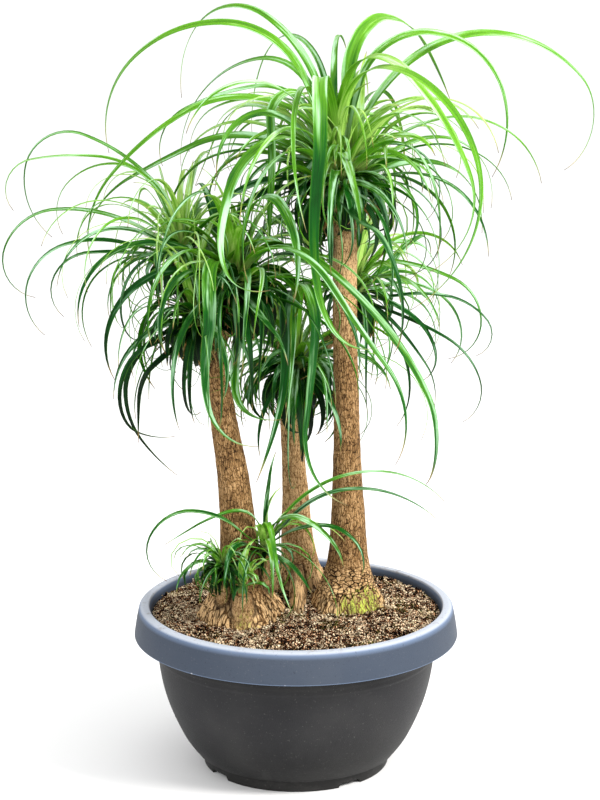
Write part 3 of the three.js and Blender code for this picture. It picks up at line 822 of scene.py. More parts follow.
@dataclass
class Bowl:
    """The nursery bowl: one wall from foot to lip, with a hollow skirt round the rim."""

    band_radius: float = 200.0
    height: float = 204.0
    wall: float = 3.0
    foot_radius: float = 115.0
    foot_height: float = 6.0
    foot_width: float = 6.0
    floor_top: float = 10.0
    skirt_bottom: float = 166.0
    lip_inner: float = 181.0
    lip_width: float = 9.0
    foot_arc: float = 1.2
    notches: int = 4
    notch_angle: float = 15.0
    first_notch: float = -54.0
    drain_holes: int = 4
    drain_radius: float = 7.0
    drain_circle: float = 80.0
    drain_sides: int = 32
    sides: int = 240
    side_runs: int = 120
    steps: tuple[tuple[float, float], ...] = ((142.0, 1.1), (150.0, 0.8))
    step_height: float = 1.6
    finish: BowlFinish = field(default_factory=BowlFinish)

    def side(self) -> list[tuple[float, float]]:
        """The outside of the wall from the foot up to the skirt, with two faint steps under the skirt.

        Returns:
            Points of radius and height.
        """
        run = [(124, 17), (141, 41), (159, 82), (168.5, 120), (174, self.skirt_bottom)]
        points = []
        for i in range(self.side_runs + 1):
            radius, height = spline(run, i / self.side_runs)
            proud = sum(out * smooth(height, level, level + self.step_height) for level, out in self.steps)
            points.append((radius + proud, height))
        return points

    def inside(self) -> list[tuple[float, float]]:
        """The inside of the wall, from the floor's edge up to the lip."""
        return [(110, self.floor_top), (121, 20), (138, 42.5), (156, 82), (165.5, 120),
                (171, self.skirt_bottom), (self.lip_inner, self.height - 2)]

    def outline(self) -> list[tuple[float, float]]:
        """The wall's section, out over the foot, up to the lip, and down inside to the floor.

        Returns:
            Points of radius and height.
        """
        foot, width = self.foot_radius, self.foot_width
        lip_outer = self.lip_inner + self.lip_width
        under_lip = self.height - self.wall
        inner = self.band_radius - self.wall
        *wall, skirt, lip = self.inside()
        return rounded([
            (0, self.foot_height), (foot - width, self.foot_height, 1.0), (foot - width, 0, self.foot_arc),
            (foot, 0, self.foot_arc), (foot + 1, 8), (foot + 2, 14, 1.5), (121, 16, 1.0), *self.side(),
            (184, under_lip, 2.0), (lip_outer - 0.5, under_lip, 1.5), (inner - 4.5, 193),
            (inner - 2, 180), (inner, self.skirt_bottom, 0.8),
            (self.band_radius, self.skirt_bottom, 1.0), (self.band_radius - 0.8, 172),
            (self.band_radius - 2, 180), (self.band_radius - 3.2, 187), (self.band_radius - 4.7, 194),
            (self.band_radius - 6.3, 201, 1.5), (lip_outer, self.height, 2.4),
            (self.lip_inner + 1, self.height, 1.0), (*lip, 0.8), (*skirt, 3.0), *wall[:0:-1],
            (*wall[0], 2.0), (0, self.floor_top),
        ])

    def cut_notches(self, bm: bmesh.types.BMesh) -> None:
        """Raises the foot ring's underside at each notch.

        Args:
            bm: the bowl's mesh.
        """
        pitch = 360 / self.notches
        highest = (self.foot_arc + 0.1) * MM
        inner = (self.foot_radius - self.foot_width - 1.5) * MM
        for vert in bm.verts:
            offset = vert.co - AXIS
            if offset.z > highest or offset.xy.length < inner:
                continue
            turn = math.degrees(math.atan2(offset.y, offset.x)) - self.first_notch
            if abs((turn + pitch / 2) % pitch - pitch / 2) < self.notch_angle / 2:
                vert.co.z = placed(0, 0, self.foot_height - 0.5).z

    def drill(self, shell: bpy.types.Object) -> None:
        """Cuts the drain holes through the floor.

        Args:
            shell: the bowl.
        """
        bm = bmesh.new()
        for i in range(self.drain_holes):
            angle = 2 * math.pi * i / self.drain_holes
            spot = placed(*polar(self.drain_circle, angle), (self.foot_height + self.floor_top) / 2)
            bmesh.ops.create_cone(bm, cap_ends=True, segments=self.drain_sides,
                                  radius1=self.drain_radius * MM, radius2=self.drain_radius * MM,
                                  depth=2 * self.floor_top * MM, matrix=Matrix.Translation(spot))
        cutter = object_from(bm, "drain_cutter", shell.data.materials[0])
        cut = shell.modifiers.new("drain", "BOOLEAN")
        cut.operation = "DIFFERENCE"
        cut.solver = "EXACT"
        cut.object = cutter
        applied(shell)
        bpy.data.objects.remove(cutter)

    def build(self) -> None:
        """Makes the bowl."""
        bm = spun(self.outline(), self.sides)
        self.cut_notches(bm)
        shell = object_from(bm, "bowl_shell", self.finish.build())
        self.drill(shell)
        seated(shell, Slot.BOWL, "bowl")


# Wood


@dataclass(frozen=True)
class Plant:
    """A plant's wood.

    Every limb is a run of level rings: x, y, z, radius and, where it is long, stretch along Y. Tint is how
    pale the bark is, and blocks how far it breaks into blocks at the neck, 0 to 1. Moss spots are x, y, z,
    reach and strength. The young limbs, by number with the stem as 0, have thin, ringed bark.
    """

    name: str
    lobes: int
    stem: Limb
    branches: tuple[Limb, ...]
    tint: float
    blocks: float
    moss_spots: tuple[tuple[float, ...], ...]
    young: tuple[int, ...] = ()

    @property
    def limbs(self) -> tuple[Limb, ...]:
        """The stem and the branches."""
        return self.stem, *self.branches


PLANTS = (
    Plant("left", lobes=5, stem=(
        (-66, -40, 150, 44), (-66, -40, 178, 54), (-66, -40, 196, 55), (-66, -40, 214, 46.5),
        (-67, -40, 232, 36), (-68, -40, 250, 29), (-69, -40, 272, 24.5), (-70, -40, 304, 22),
        (-75, -40, 371, 19.5), (-84, -40, 430, 17), (-90, -40, 470, 15), (-101, -40, 522, 15),
        (-105, -40, 545, 13),
    ), branches=(
        ((-100, -40, 505, 10), (-90, -44, 550, 12), (-74, -49, 578, 12), (-70, -50, 586.7, 11.5)),
        ((-102, -40, 515, 10), (-116, -32, 570, 11.5), (-131, -22, 610, 11), (-135, -20, 621.7, 10.5)),
        ((-102, -40, 505, 10), (-112, -52, 535, 12), (-118, -60, 552.7, 11)),
        ((-44, -38, 215, 13), (-40, -45, 250, 9), (-38, -48, 274.7, 6.5)),
        ((-65, -62, 165, 20), (-64, -72, 196, 17), (-64, -80, 222, 13.5), (-64, -84, 238.7, 10.5)),
        ((-80, -60, 190, 13), (-86, -68, 230, 9.5), (-88, -73, 257.7, 7.5)),
    ), tint=0.0, blocks=0.2, moss_spots=((-56, -92, 206, 24, 0.45),), young=(4, 5, 6)),
    Plant("middle", lobes=4, stem=(
        (5, 65, 150, 30), (5, 65, 176, 36), (5, 65, 196, 38), (5, 65, 212, 34), (4, 65, 228, 28),
        (4, 65, 242, 23.5), (1, 65, 277, 19.5), (-1, 65, 328, 16.5), (-3, 65, 368, 14.5),
        (-7, 65, 433, 13.5), (-6, 63, 450, 12.5), (-1, 56, 466.7, 11.5),
    ), branches=(
        ((2, 12, 165, 9, 5), (2, 12, 202, 11, 5.2), (2, 16, 224, 9, 5), (3, 26, 240, 5, 6)),
        ((-6, 67, 415, 9), (4, 82, 460, 10.5), (28, 84, 500, 10.5), (56, 76, 535, 10.5),
         (70, 71, 559.7, 10)),
    # The middle plant's tint is partly paler bark and partly painted light lifting its trunk out of shade.
    ), tint=0.56, blocks=0.35, moss_spots=((2, -44, 206, 18, 0.4),)),
    Plant("right", lobes=5, stem=(
        (62, -6, 150, 40), (62, -6, 176, 47), (62, -6, 198, 47), (62, -6, 214, 40.5), (63, -6, 230, 33.5),
        (64, -6, 251, 27.5), (64, -6, 272, 24), (64, -6, 298, 22), (63, -6, 348, 19),
        (62, -6, 408, 16.5), (61, -6, 467, 15.5), (59, -6, 547, 14.5), (58, -6, 660, 14.5),
        (54, -8, 690, 12.5), (51, -10, 702.7, 11.5),
    ), branches=(
        ((58, -6, 645, 10), (66, 2, 685, 11.5), (72, 8, 705.7, 10.5)),
        ((57, -6, 640, 10), (42, 3, 672, 11.5), (33, 8, 693.7, 10.5)),
    ), tint=0.1, blocks=1.0, moss_spots=((94, -36, 207, 32, 1.0), (74, -50, 206, 30, 0.95))),
)


def full(ring: tuple[float, ...]) -> tuple[float, ...]:
    """A ring with its stretch, which is 1 where none is given."""
    return (*ring, 1.0)[:5]


def section(limb: Limb, z: float) -> list[float] | None:
    """A limb's section at a height.

    Args:
        limb: its rings.
        z: the height.

    Returns:
        The section's middle x and y, radius and stretch, or None above and below the limb.
    """
    for low, high in zip(limb, limb[1:]):
        if low[2] <= z <= high[2]:
            share = (z - low[2]) / (high[2] - low[2])
            x, y, _, radius, stretch = (mixed(ends, share) for ends in zip(full(low), full(high)))
            return [x, y, radius, stretch]
    return None


def cell_edge(point: Vector) -> float:
    """How near a point is to the edge of a cell, from 0 inside one to 1 on an edge."""
    nearest, second = noise.voronoi(point)[0][:2]
    return smooth(second - nearest, 0.20, 0.02)


@dataclass
class Wood:
    """The three trunks with their branches and bark."""

    sides: int = 48
    ring_spacing: float = 5.0
    voxel: float = 1.5
    buried: float = 178.0
    caudex_top: float = 262.0
    caudex_fade: float = 60.0
    lobe_depth: float = 0.07
    crack_depth: float = 1.3
    grain_radius: float = 22.0
    grain_swelling: float = 0.4
    limb_shift: float = 57.0
    seam: float = 6.0
    # heights where the creases between limbs get painted shade
    crease_shade_heights: Span = (205.0, 217.0)
    cracked_heights: Span = (240.0, 212.0)
    foot_heights: Span = (244.0, 218.0)
    neck_from: Span = (216.0, 228.0)
    neck_to: Span = (268.0, 244.0)
    # painted light: the bark turns paler up towards the crowns, against their shade
    painted_light_heights: Span = (480.0, 640.0)
    painted_light_share: float = 0.7
    young_tint: float = 0.60
    finish: BarkFinish = field(default_factory=BarkFinish)

    def add_limb(self, bm: bmesh.types.BMesh, limb: Limb, lobes: int) -> None:
        """Adds a closed, tapering limb.

        Args:
            bm: the mesh that it joins.
            limb: its rings.
            lobes: swellings round a base, or 0.
        """
        rings = [full(ring) for ring in limb]
        rows = max(6, int((rings[-1][2] - rings[0][2]) / self.ring_spacing))
        grid = bmesh.ops.create_grid(bm, x_segments=self.sides, y_segments=rows, size=1)["verts"]
        for vert in grid:
            angle = math.pi * (vert.co.x + 1)
            x, y, z, radius, stretch = spline(rings, (vert.co.y + 1) / 2)
            fade = clamp((self.caudex_top - z) / self.caudex_fade)
            reach = radius * (1 + (self.lobe_depth * fade * math.cos(lobes * angle + lobes) if lobes else 0))
            vert.co = placed(x + reach * math.cos(angle),
                             y + (reach + radius * (stretch - 1)) * math.sin(angle), z)
        bmesh.ops.remove_doubles(bm, verts=grid, dist=MERGE)
        close_ends(bm)

    def grain_at(self, plant: Plant, point: Vector) -> tuple[Vector, int, float]:
        """Where a point is in the grain, which keeps its width where a limb swells.

        Args:
            plant: the plant.
            point: the place, in millimetres.

        Returns:
            A place on an even rod that stands for the nearest limb, the limb's number, and how near the
            point is to the seam with another limb, 0 to 1.
        """
        near = []
        for index, limb in enumerate(plant.limbs):
            level = clamp(point.z, limb[0][2], limb[-1][2])
            x, y, radius, stretch = section(limb, level)
            across, along = point.x - x, (point.y - y) / stretch
            away = abs(math.hypot(across, along) - radius) + 2 * abs(point.z - level)
            angle = math.atan2(along, across)
            reach = self.grain_radius + self.grain_swelling * (radius - self.grain_radius)
            grain = Vector((*polar(reach, angle), point.z + self.limb_shift * index))
            near.append((away, index, grain))
        near.sort(key=lambda limb: limb[0])
        away, index, grain = near[0]
        return grain, index, smooth(near[1][0] - away, self.seam, 0.5)

    def relief(self, grain: Vector, point: Vector, foot: float) -> tuple[float, float]:
        """How far the bark stands in at a point, and how dark the crack there is.

        Args:
            grain: where the point is in the grain.
            point: the place, in millimetres.
            foot: how much the bark is that of a base, 0 to 1.

        Returns:
            The depth in millimetres and the crack, 0 to 1.
        """
        bend = noise.noise(point * 0.05)
        x, y, z = grain
        ridge = noise.noise(Vector((x * 0.12, y * 0.12, z * 0.016)))
        narrow = noise.noise(Vector((x * 0.32, y * 0.32, z * 0.045)))
        rings = noise.noise(Vector((x * 0.02, y * 0.02, z * 0.20 + 0.5 * bend)))
        furrow = cell_edge(Vector((x * 0.19 + 0.5 * bend, y * 0.19 - 0.5 * bend, z * 0.026)))
        crack = furrow * foot
        return 0.5 * narrow + 0.35 * rings + (0.5 + 1.6 * foot) * ridge + self.crack_depth * crack, crack

    def weather(self, plant: Plant, bm: bmesh.types.BMesh) -> None:
        """Cuts the bark's relief into the wood and stores what its colour follows.

        Args:
            plant: the plant.
            bm: its fused wood.
        """
        grain_layer = bm.verts.layers.float_vector.new("grain")
        names = ("crack", "moss", "tint", "foot", "neck")
        layers = {name: bm.verts.layers.float.new(name) for name in names}
        bm.normal_update()
        for vert in bm.verts:
            point = (vert.co - AXIS) / MM
            grain, limb, seam = self.grain_at(plant, point)
            old = 0.0 if limb in plant.young else 1.0
            depth, crack = self.relief(grain, point, old * smooth(point.z, *self.cracked_heights))
            vert.co -= vert.normal * depth * MM
            vert[grain_layer] = grain * MM
            # The crack layer also takes painted shade in the creases where limbs meet, low on the plant.
            vert[layers["crack"]] = max(crack, seam * smooth(point.z, *self.crease_shade_heights))
            # Painted light: paler bark up towards the crowns, lifting the shade that they cast.
            pale = smooth(point.z, *self.painted_light_heights) * self.painted_light_share
            vert[layers["tint"]] = (plant.tint if old else self.young_tint) + pale
            vert[layers["foot"]] = old * smooth(point.z, *self.foot_heights)
            neck = smooth(point.z, *self.neck_from) * smooth(point.z, *self.neck_to)
            vert[layers["neck"]] = neck * plant.blocks
            vert[layers["moss"]] = max(
                strength * smooth((point - Vector((x, y, z))).length, reach * 1.4, reach * 0.3)
                for x, y, z, reach, strength in plant.moss_spots)

    def fused(self, plant: Plant, bark: bpy.types.Material) -> bpy.types.Object:
        """A plant's limbs in one skin.

        Args:
            plant: the plant.
            bark: its finish.

        Returns:
            The trunk, with smooth bark.
        """
        bm = bmesh.new()
        self.add_limb(bm, plant.stem, plant.lobes)
        for branch in plant.branches:
            self.add_limb(bm, branch, 0)
        bmesh.ops.recalc_face_normals(bm, faces=bm.faces)
        trunk = object_from(bm, f"trunk_{plant.name}_bark", bark)
        remesh = trunk.modifiers.new("fuse", "REMESH")
        remesh.mode = "VOXEL"
        remesh.voxel_size = self.voxel * MM
        applied(trunk)
        return trunk

    def build(self) -> None:
        """Makes the trunks."""
        bark = self.finish.build()
        for plant in PLANTS:
            trunk = self.fused(plant, bark)
            bm = bmesh.new()
            bm.from_mesh(trunk.data)
            bmesh.ops.smooth_vert(bm, verts=bm.verts, factor=0.5, use_axis_x=True, use_axis_y=True,
                                  use_axis_z=True)
            bmesh.ops.bisect_plane(bm, geom=[*bm.verts, *bm.edges, *bm.faces],
                                   plane_co=placed(0, 0, self.buried), plane_no=(0, 0, -1), clear_outer=True)
            close_ends(bm)
            self.weather(plant, bm)
            bm.to_mesh(trunk.data)
            bm.free()
            shade_smooth(trunk.data)
            seated(trunk, Slot.BARK, f"trunk_{plant.name}")


# Leaves


class Leaf(NamedTuple):
    """A leaf's route. Angles are degrees, and the slopes are those at its root, its quarters and its tip."""

    azimuth: float
    turn: float
    length: float
    slopes: Sequence[float]
    width: float
    roll: float


@dataclass(frozen=True)
class Head:
    """A head of leaves round a short core, with leaves placed one by one and a spiral that fills it.

    Reach and width are those of the spiral's leaves, spiral their number, fall the degrees by which they
    droop from first to last, and bend how late each one bends. Fresh is added to the tone of every leaf, and
    hearts, mop, arcs and wisps count the extra leaves of each kind.
    """

    node: str
    root: Triple
    core: float
    reach: float
    width: float
    spiral: int
    seed: int
    fall: float
    bend: float
    placed: tuple[Leaf, ...] = ()
    hearts: int = 9
    mop: int = 40
    arcs: int = 0
    wisps: int = 14
    fresh: float = 0.0

    @property
    def is_shoot(self) -> bool:
        """Whether it is a young shoot, with a thin core."""
        return self.core < 10

    @property
    def depth(self) -> float:
        """Distance from the core's middle down to its foot."""
        return self.core * 2 if self.is_shoot else self.core + 10


HEADS = (
    Head("crown_right", (51, -10, 728), core=15, reach=310, width=11, spiral=28, seed=11,
         fall=70, bend=1.4, placed=(
        Leaf(170, -40, 425, (88, 70, 30, -40, -100), 11, -40),
        Leaf(175, -10, 490, (80, 65, 0, -45, -105), 12, -45),
        Leaf(-115, 70, 610, (90, 25, -120, -70, 35), 18, 0),
        Leaf(-130, 60, 385, (75, 55, -30, -50, -45), 10, 0),
        Leaf(-155, 20, 355, (65, 75, -95, -85, -90), 15, -20),
        Leaf(-175, 0, 460, (85, 20, -30, -50, -105), 10, -50),
        Leaf(-175, -30, 370, (50, 15, -25, -30, -70), 11, -50),
        Leaf(-170, 125, 435, (75, -15, -50, -25, 15), 13, -30),
        Leaf(135, -10, 350, (45, 35, -5, -55, -55), 12, -30),
        Leaf(5, 30, 545, (80, 45, -5, -45, -160), 12, 45),
        Leaf(40, 30, 455, (80, 90, -5, -40, -40), 18, 30),
        Leaf(0, 5, 445, (85, 75, -5, -70, -120), 12, 45),
        Leaf(-95, 110, 520, (90, 50, -40, -70, -155), 15, 20),
        Leaf(-90, 95, 585, (90, 30, -30, -95, -150), 13, 20),
        Leaf(100, -25, 275, (60, 60, 65, 5, -50), 11, 0),
        Leaf(175, 15, 325, (85, 55, -10, -25, -110), 9, -40),
        Leaf(145, 10, 385, (80, 65, -10, -50, -95), 11, -30),
        Leaf(115, 10, 395, (80, 70, 10, -55, -95), 9, -30),
        Leaf(155, -15, 290, (80, 40, 0, -25, -85), 8, -50),
        Leaf(-90, 20, 200, (80, 10, -25, -45, -85), 13, 0),
        Leaf(-85, 20, 390, (-10, -5, 0, -50, -140), 11, 0),
    ), hearts=12, mop=54, arcs=14, wisps=8, fresh=0.10),
    Head("crown_right", (72, 8, 731), core=15, reach=230, width=9, spiral=16, seed=12,
         fall=75, bend=1.3, mop=28, arcs=10, wisps=6, fresh=0.08),
    Head("crown_right", (33, 8, 719), core=15, reach=230, width=9, spiral=14, seed=13,
         fall=80, bend=1.3, mop=34, arcs=10, wisps=4, fresh=0.06),
    Head("crown_left_main", (-70, -50, 612), core=15, reach=240, width=11, spiral=24, seed=26,
         fall=95, bend=1.1, placed=(
        Leaf(-30, -45, 495, (70, -25, -30, -40, -150), 14, 0),
        Leaf(-65, 25, 470, (50, 10, -40, -40, -125), 13, 0),
        Leaf(-30, -15, 275, (55, 15, -45, -60, -105), 11, 20),
        Leaf(-125, 110, 350, (65, -20, -115, -75, 10), 17, 0),
        Leaf(-15, -90, 300, (95, 70, -30, -45, -35), 15, 20),
        Leaf(-15, 0, 115, (80, 70, 20, -35, -75), 11, 45),
        Leaf(-75, 5, 215, (5, -10, -10, -10, -55), 11, 0),
        Leaf(140, -30, 150, (65, 65, 65, 45, -35), 14, -20),
        Leaf(180, 20, 260, (50, 25, -10, -55, -100), 11, -45),
        Leaf(-165, 10, 250, (35, 5, -35, -75, -120), 12, -40),
        Leaf(-125, 10, 300, (75, 75, -5, -50, -110), 7, -20),
    ), hearts=12, mop=100, arcs=12, wisps=6, fresh=-0.03),
    Head("crown_left_outer", (-135, -20, 645), core=13, reach=240, width=7, spiral=18, seed=22,
         fall=80, bend=1.4, placed=(
        Leaf(180, 0, 215, (5, 5, -5, -65, -140), 6, -50),
        Leaf(-170, -5, 275, (15, 15, -15, -75, -140), 7, -50),
        Leaf(175, 10, 320, (40, 20, -5, -70, -170), 7, -50),
        Leaf(170, 15, 370, (90, 45, 20, -80, -140), 6, -50),
        Leaf(175, 10, 315, (90, 50, 5, -10, -130), 6, -50),
        Leaf(155, 10, 275, (75, 60, 0, -45, -120), 6, -40),
    ), mop=60, arcs=14, wisps=50, fresh=0.10),
    Head("crown_left_front", (-118, -60, 576), core=13, reach=165, width=8, spiral=18, seed=23,
         fall=104, bend=0.8, placed=(
        Leaf(-165, 0, 250, (-10, -40, -90, -125, -140), 9, -50),
        Leaf(-140, 15, 275, (-20, -10, -80, -155, -175), 8, -30),
        Leaf(-125, 10, 190, (-45, -15, -20, -85, -90), 9, -20),
    ), mop=50, arcs=8, wisps=8, fresh=-0.08),
    Head("crown_middle", (-1, 56, 492), core=15, reach=160, width=9, spiral=24, seed=31,
         fall=100, bend=1.1, placed=(
        Leaf(-90, -25, 400, (50, 70, -105, -50, -40), 15, 0),
        Leaf(-95, 60, 480, (50, 60, -100, -100, -5), 15, 0),
        Leaf(-85, -15, 340, (90, 65, -55, -50, -45), 10, 0),
        Leaf(-150, 105, 365, (90, 10, -55, -10, 15), 14, 0),
    ), mop=120, arcs=8, wisps=4),
    Head("crown_middle_back", (72, 70, 583), core=13, reach=220, width=8, spiral=20, seed=32,
         fall=95, bend=1.2, placed=(
        Leaf(0, -10, 270, (70, -10, -25, -90, -170), 7, 50),
        Leaf(-10, 0, 225, (-5, 10, -10, -50, -160), 6, 50),
        Leaf(-35, 20, 260, (-15, -15, -25, -70, -150), 6, 40),
        Leaf(60, -20, 310, (90, -5, -10, -80, -155), 10, 40),
        Leaf(50, 10, 200, (15, 25, 25, 5, -95), 12, 30),
        Leaf(-35, 10, 180, (5, -15, -35, -75, -150), 7, 40),
        Leaf(-60, 10, 215, (-5, -15, -30, -40, -105), 6, 30),
    ), mop=52, arcs=10, wisps=12, fresh=0.06),
    Head("shoot_tall", (-38, -48, 289), core=7, reach=150, width=6, spiral=12, seed=41,
         fall=104, bend=0.7, placed=(
        Leaf(-125, -60, 255, (35, 40, 10, -65, -155), 8, -40),
        Leaf(-120, -70, 170, (90, 45, -10, -30, -35), 5, -40),
        Leaf(-10, 55, 295, (70, 40, 5, -25, -45), 6, 45),
        Leaf(-20, 30, 250, (55, 45, 10, -20, -45), 8, 45),
        Leaf(-35, 5, 160, (90, 35, -15, -40, -80), 11, 20),
        Leaf(-25, -20, 190, (45, 25, 5, -40, -125), 8, 30),
        Leaf(-70, 10, 140, (5, 5, 0, -20, -35), 9, 0),
        Leaf(-90, 40, 175, (90, 25, -70, -60, -50), 8, 0),
        Leaf(60, 0, 115, (90, 90, 75, 75, 45), 7, 0),
        Leaf(-130, 30, 130, (20, 25, -5, -65, -60), 9, -20),
    ), hearts=7, mop=16, wisps=10),
    Head("shoot_stump", (-64, -84, 251), core=6, reach=50, width=7, spiral=8, seed=42,
         fall=60, bend=1.3, hearts=9, mop=0, wisps=0, fresh=0.02),
    Head("shoot_tuft", (-88, -73, 272), core=7, reach=85, width=5, spiral=22, seed=43,
         fall=70, bend=1.2, hearts=6, mop=80, wisps=14, fresh=-0.10),
)


class Station(NamedTuple):
    """A place on a leaf: its point, the ways across and out of its upper face, and half its width."""

    point: Triple
    across: Triple
    out: Triple
    half: float


class Ball(NamedTuple):
    """A stretch of leaf or core, as the room that it takes, and whether it is near the core."""

    point: Triple
    half: float
    near: bool


ROOT_OFFSET = 0.3  # core radii from a head's axis to where its leaves start
ROOT_ZONE = 4  # core radii within which a leaf may touch the others of its head
SOLID_STEPS = 24  # steps in which the solids follow a leaf
SPIRAL_DRAWS = 10000  # seeds that the spiral of each head has to itself
LEAF_DRAWS = 50  # and those that each of its leaves has
LONG_LEAF = 420  # length above which it takes the most straight runs
SHORT_LEAF = 210  # and up to which it takes the fewest
BALL_SPACING = 6  # at most, along a leaf
EXTRA_RUNS = 12  # straight runs in which an extra leaf is tested


def slope_at(leaf: Leaf, along: float) -> float:
    """The slope of a leaf at a share of its length, in radians.

    Args:
        leaf: the leaf.
        along: the share.

    Returns:
        The slope.
    """
    quarter = min(along * 4, 3.9999)
    k = int(quarter)
    return math.radians(mixed(leaf.slopes[k:k + 2], quarter - k))


def heading_at(leaf: Leaf, along: float) -> float:
    """The heading of a leaf at a share of its length, in radians."""
    return math.radians(leaf.azimuth + leaf.turn * along)


def stations(head: Head, leaf: Leaf, steps: int, taper: float = 2.2) -> list[Station]:
    """Follows a leaf from root to tip.

    Args:
        head: the head that it grows from.
        leaf: its route.
        steps: how many runs to cut it into.
        taper: 1 where it narrows all along, and more where it keeps its width up to near the tip.

    Returns:
        The stations, one more than the steps.
    """
    x, y, z = head.root
    heading = heading_at(leaf, 0)
    out = ROOT_OFFSET * head.core
    x += out * math.cos(heading)
    y += out * math.sin(heading)
    z += head.core * clamp(leaf.slopes[0] / 90 - 0.4, -0.6, 0.5)
    run = leaf.length / steps
    made = []
    for i in range(steps + 1):
        along = i / steps
        if i:
            middle = along - 0.5 / steps
            slope, heading = slope_at(leaf, middle), heading_at(leaf, middle)
            x += run * math.cos(slope) * math.cos(heading)
            y += run * math.cos(slope) * math.sin(heading)
            z += run * math.sin(slope)
        slope, heading = slope_at(leaf, along), heading_at(leaf, along)
        roll = math.radians(leaf.roll * min(1, 3 * along))
        level = (-math.sin(heading), math.cos(heading), 0.0)
        up = (-math.sin(slope) * math.cos(heading), -math.sin(slope) * math.sin(heading), math.cos(slope))
        across = tuple(a * math.cos(roll) + b * math.sin(roll) for a, b in zip(level, up))
        outward = tuple(b * math.cos(roll) - a * math.sin(roll) for a, b in zip(level, up))
        half = leaf.width / 2 * min(1, 0.4 + 5 * along) * (1 - along ** taper)
        made.append(Station((x, y, z), across, outward, half))
    return made


def spiral_leaf(head: Head, index: int, attempt: int) -> Leaf:
    """A leaf of the spiral that runs down a head from young and upright to old and hanging.

    Args:
        head: the head.
        index: the leaf's place in the spiral, from 0 at the top.
        attempt: which try at it this is.

    Returns:
        The leaf.
    """
    draws = Draws(head.seed * SPIRAL_DRAWS + index * LEAF_DRAWS + attempt)
    age = (index + 0.5) / head.spiral
    start = 84 - head.fall * age + draws.jitter(10)
    end = -60 - 60 * math.sqrt(age) + draws.jitter(30)
    bend = head.bend + 0.5 * draws.next()
    azimuth = index * GOLDEN_ANGLE + draws.jitter(22)
    turn = draws.jitter(35)
    length = head.reach * (0.5 + 0.5 * math.sin(math.pi * (0.1 + 0.7 * age))) * (1 + draws.jitter(0.15))
    slopes = [mixed((start, end), along ** bend) for along in QUARTERS]
    width = head.width * (0.75 + 0.4 * draws.next())
    return Leaf(azimuth, turn, length, slopes, width, draws.jitter(55))


def swung(leaf: Leaf, attempt: int) -> Leaf:
    """A placed leaf, turned a few degrees further to either side at each attempt."""
    return leaf._replace(azimuth=leaf.azimuth + 3 * math.ceil(attempt / 2) * (1 if attempt % 2 else -1))


class Room:
    """What the wood and the leaves take up, so that leaves pass clear of each other."""

    CELL = 32
    CLEARANCE = 1.2
    LOWEST = SOIL_TOP + 4
    BARK_ALLOWANCE = 1.08

    def __init__(self) -> None:
        """Starts with the wood alone."""
        self.cells: dict[tuple[int, ...], list[tuple[str, Ball]]] = defaultdict(list)
        self.limbs = [limb for plant in PLANTS for limb in plant.limbs]
        low, high = CAD_BOX
        self.low = [(a - b) / MM for a, b in zip(low, AXIS)]
        self.high = [(a - b) / MM for a, b in zip(high, AXIS)]

    def cell(self, point: Triple) -> tuple[int, ...]:
        """The cell that a point is in."""
        return tuple(math.floor(part / self.CELL) for part in point)

    def take(self, node: str, balls: Sequence[Ball]) -> None:
        """Books the room of a leaf."""
        for ball in balls:
            self.cells[self.cell(ball.point)].append((node, ball))

    def in_wood(self, ball: Ball) -> bool:
        """Whether a ball touches the wood.

        Args:
            ball: the ball.

        Returns:
            Whether it does.
        """
        x, y, z = ball.point
        for limb in self.limbs:
            found = section(limb, z)
            if found:
                x0, y0, radius, stretch = found
                away = math.hypot(x - x0, (y - y0) / stretch)
                if away < radius * self.BARK_ALLOWANCE + ball.half + self.CLEARANCE:
                    return True
        return False

    def met(self, node: str, ball: Ball, apart: bool) -> bool:
        """Whether a ball comes too close to a booked one.

        Args:
            node: the head that the ball is part of.
            ball: the ball.
            apart: whether balls of the same head count too, away from its core.

        Returns:
            Whether it does.
        """
        for cell in product(*(range(k - 1, k + 2) for k in self.cell(ball.point))):
            for owner, other in self.cells.get(cell, ()):
                if owner == node and not (apart and not (ball.near or other.near)):
                    continue
                if math.dist(ball.point, other.point) < other.half + ball.half + self.CLEARANCE:
                    return True
        return False

    def is_free(self, node: str, balls: Sequence[Ball], apart: bool) -> bool:
        """Whether a leaf clears the soil, the wood and other heads' leaves, and its own head's if apart.

        Args:
            node: the leaf's head.
            balls: the leaf's room.
            apart: whether it must clear its own head's leaves.

        Returns:
            Whether it does.
        """
        for ball in balls:
            if ball.point[2] - ball.half < self.LOWEST or self.in_wood(ball) or self.met(node, ball, apart):
                return False
        return True

    def clears_wood(self, balls: Sequence[Ball]) -> bool:
        """Whether a leaf clears the soil and the wood, and stays inside the whole.

        Args:
            balls: the leaf's room.

        Returns:
            Whether it does.
        """
        for ball in balls:
            inside = all(a < b < c for a, b, c in zip(self.low, ball.point, self.high))
            if not inside or ball.point[2] - ball.half < self.LOWEST:
                return False
            if not ball.near and self.in_wood(ball):
                return False
        return True


def runs_of(length: float) -> int:
    """Straight runs in which the solids follow a leaf of some length."""
    return 8 if length > LONG_LEAF else 6 if length > SHORT_LEAF else 4


def balls_along(head: Head, line: Sequence[Station], runs: int, length: float) -> list[Ball]:
    """The room that a leaf takes along its straight runs.

    Args:
        head: the leaf's head.
        line: its stations.
        runs: how many runs.
        length: the leaf's length.

    Returns:
        Balls that lie close together.
    """
    stops = line[::SOLID_STEPS // runs]
    parts = math.ceil(length / runs / BALL_SPACING)
    made = []
    for start, end in zip(stops, stops[1:]):
        for part in range(parts):
            share = part / parts
            point = tuple(mixed(ends, share) for ends in zip(start.point, end.point))
            near = math.dist(point, line[0].point) < ROOT_ZONE * head.core
            made.append(Ball(point, mixed((start.half, end.half), share), near))
    return made


class Growth(NamedTuple):
    """A leaf that has found room, with its tone from old to fresh, and how dry it is."""

    head: Head
    leaf: Leaf
    tone: float
    dry: float = 0.0
    fine: bool = False


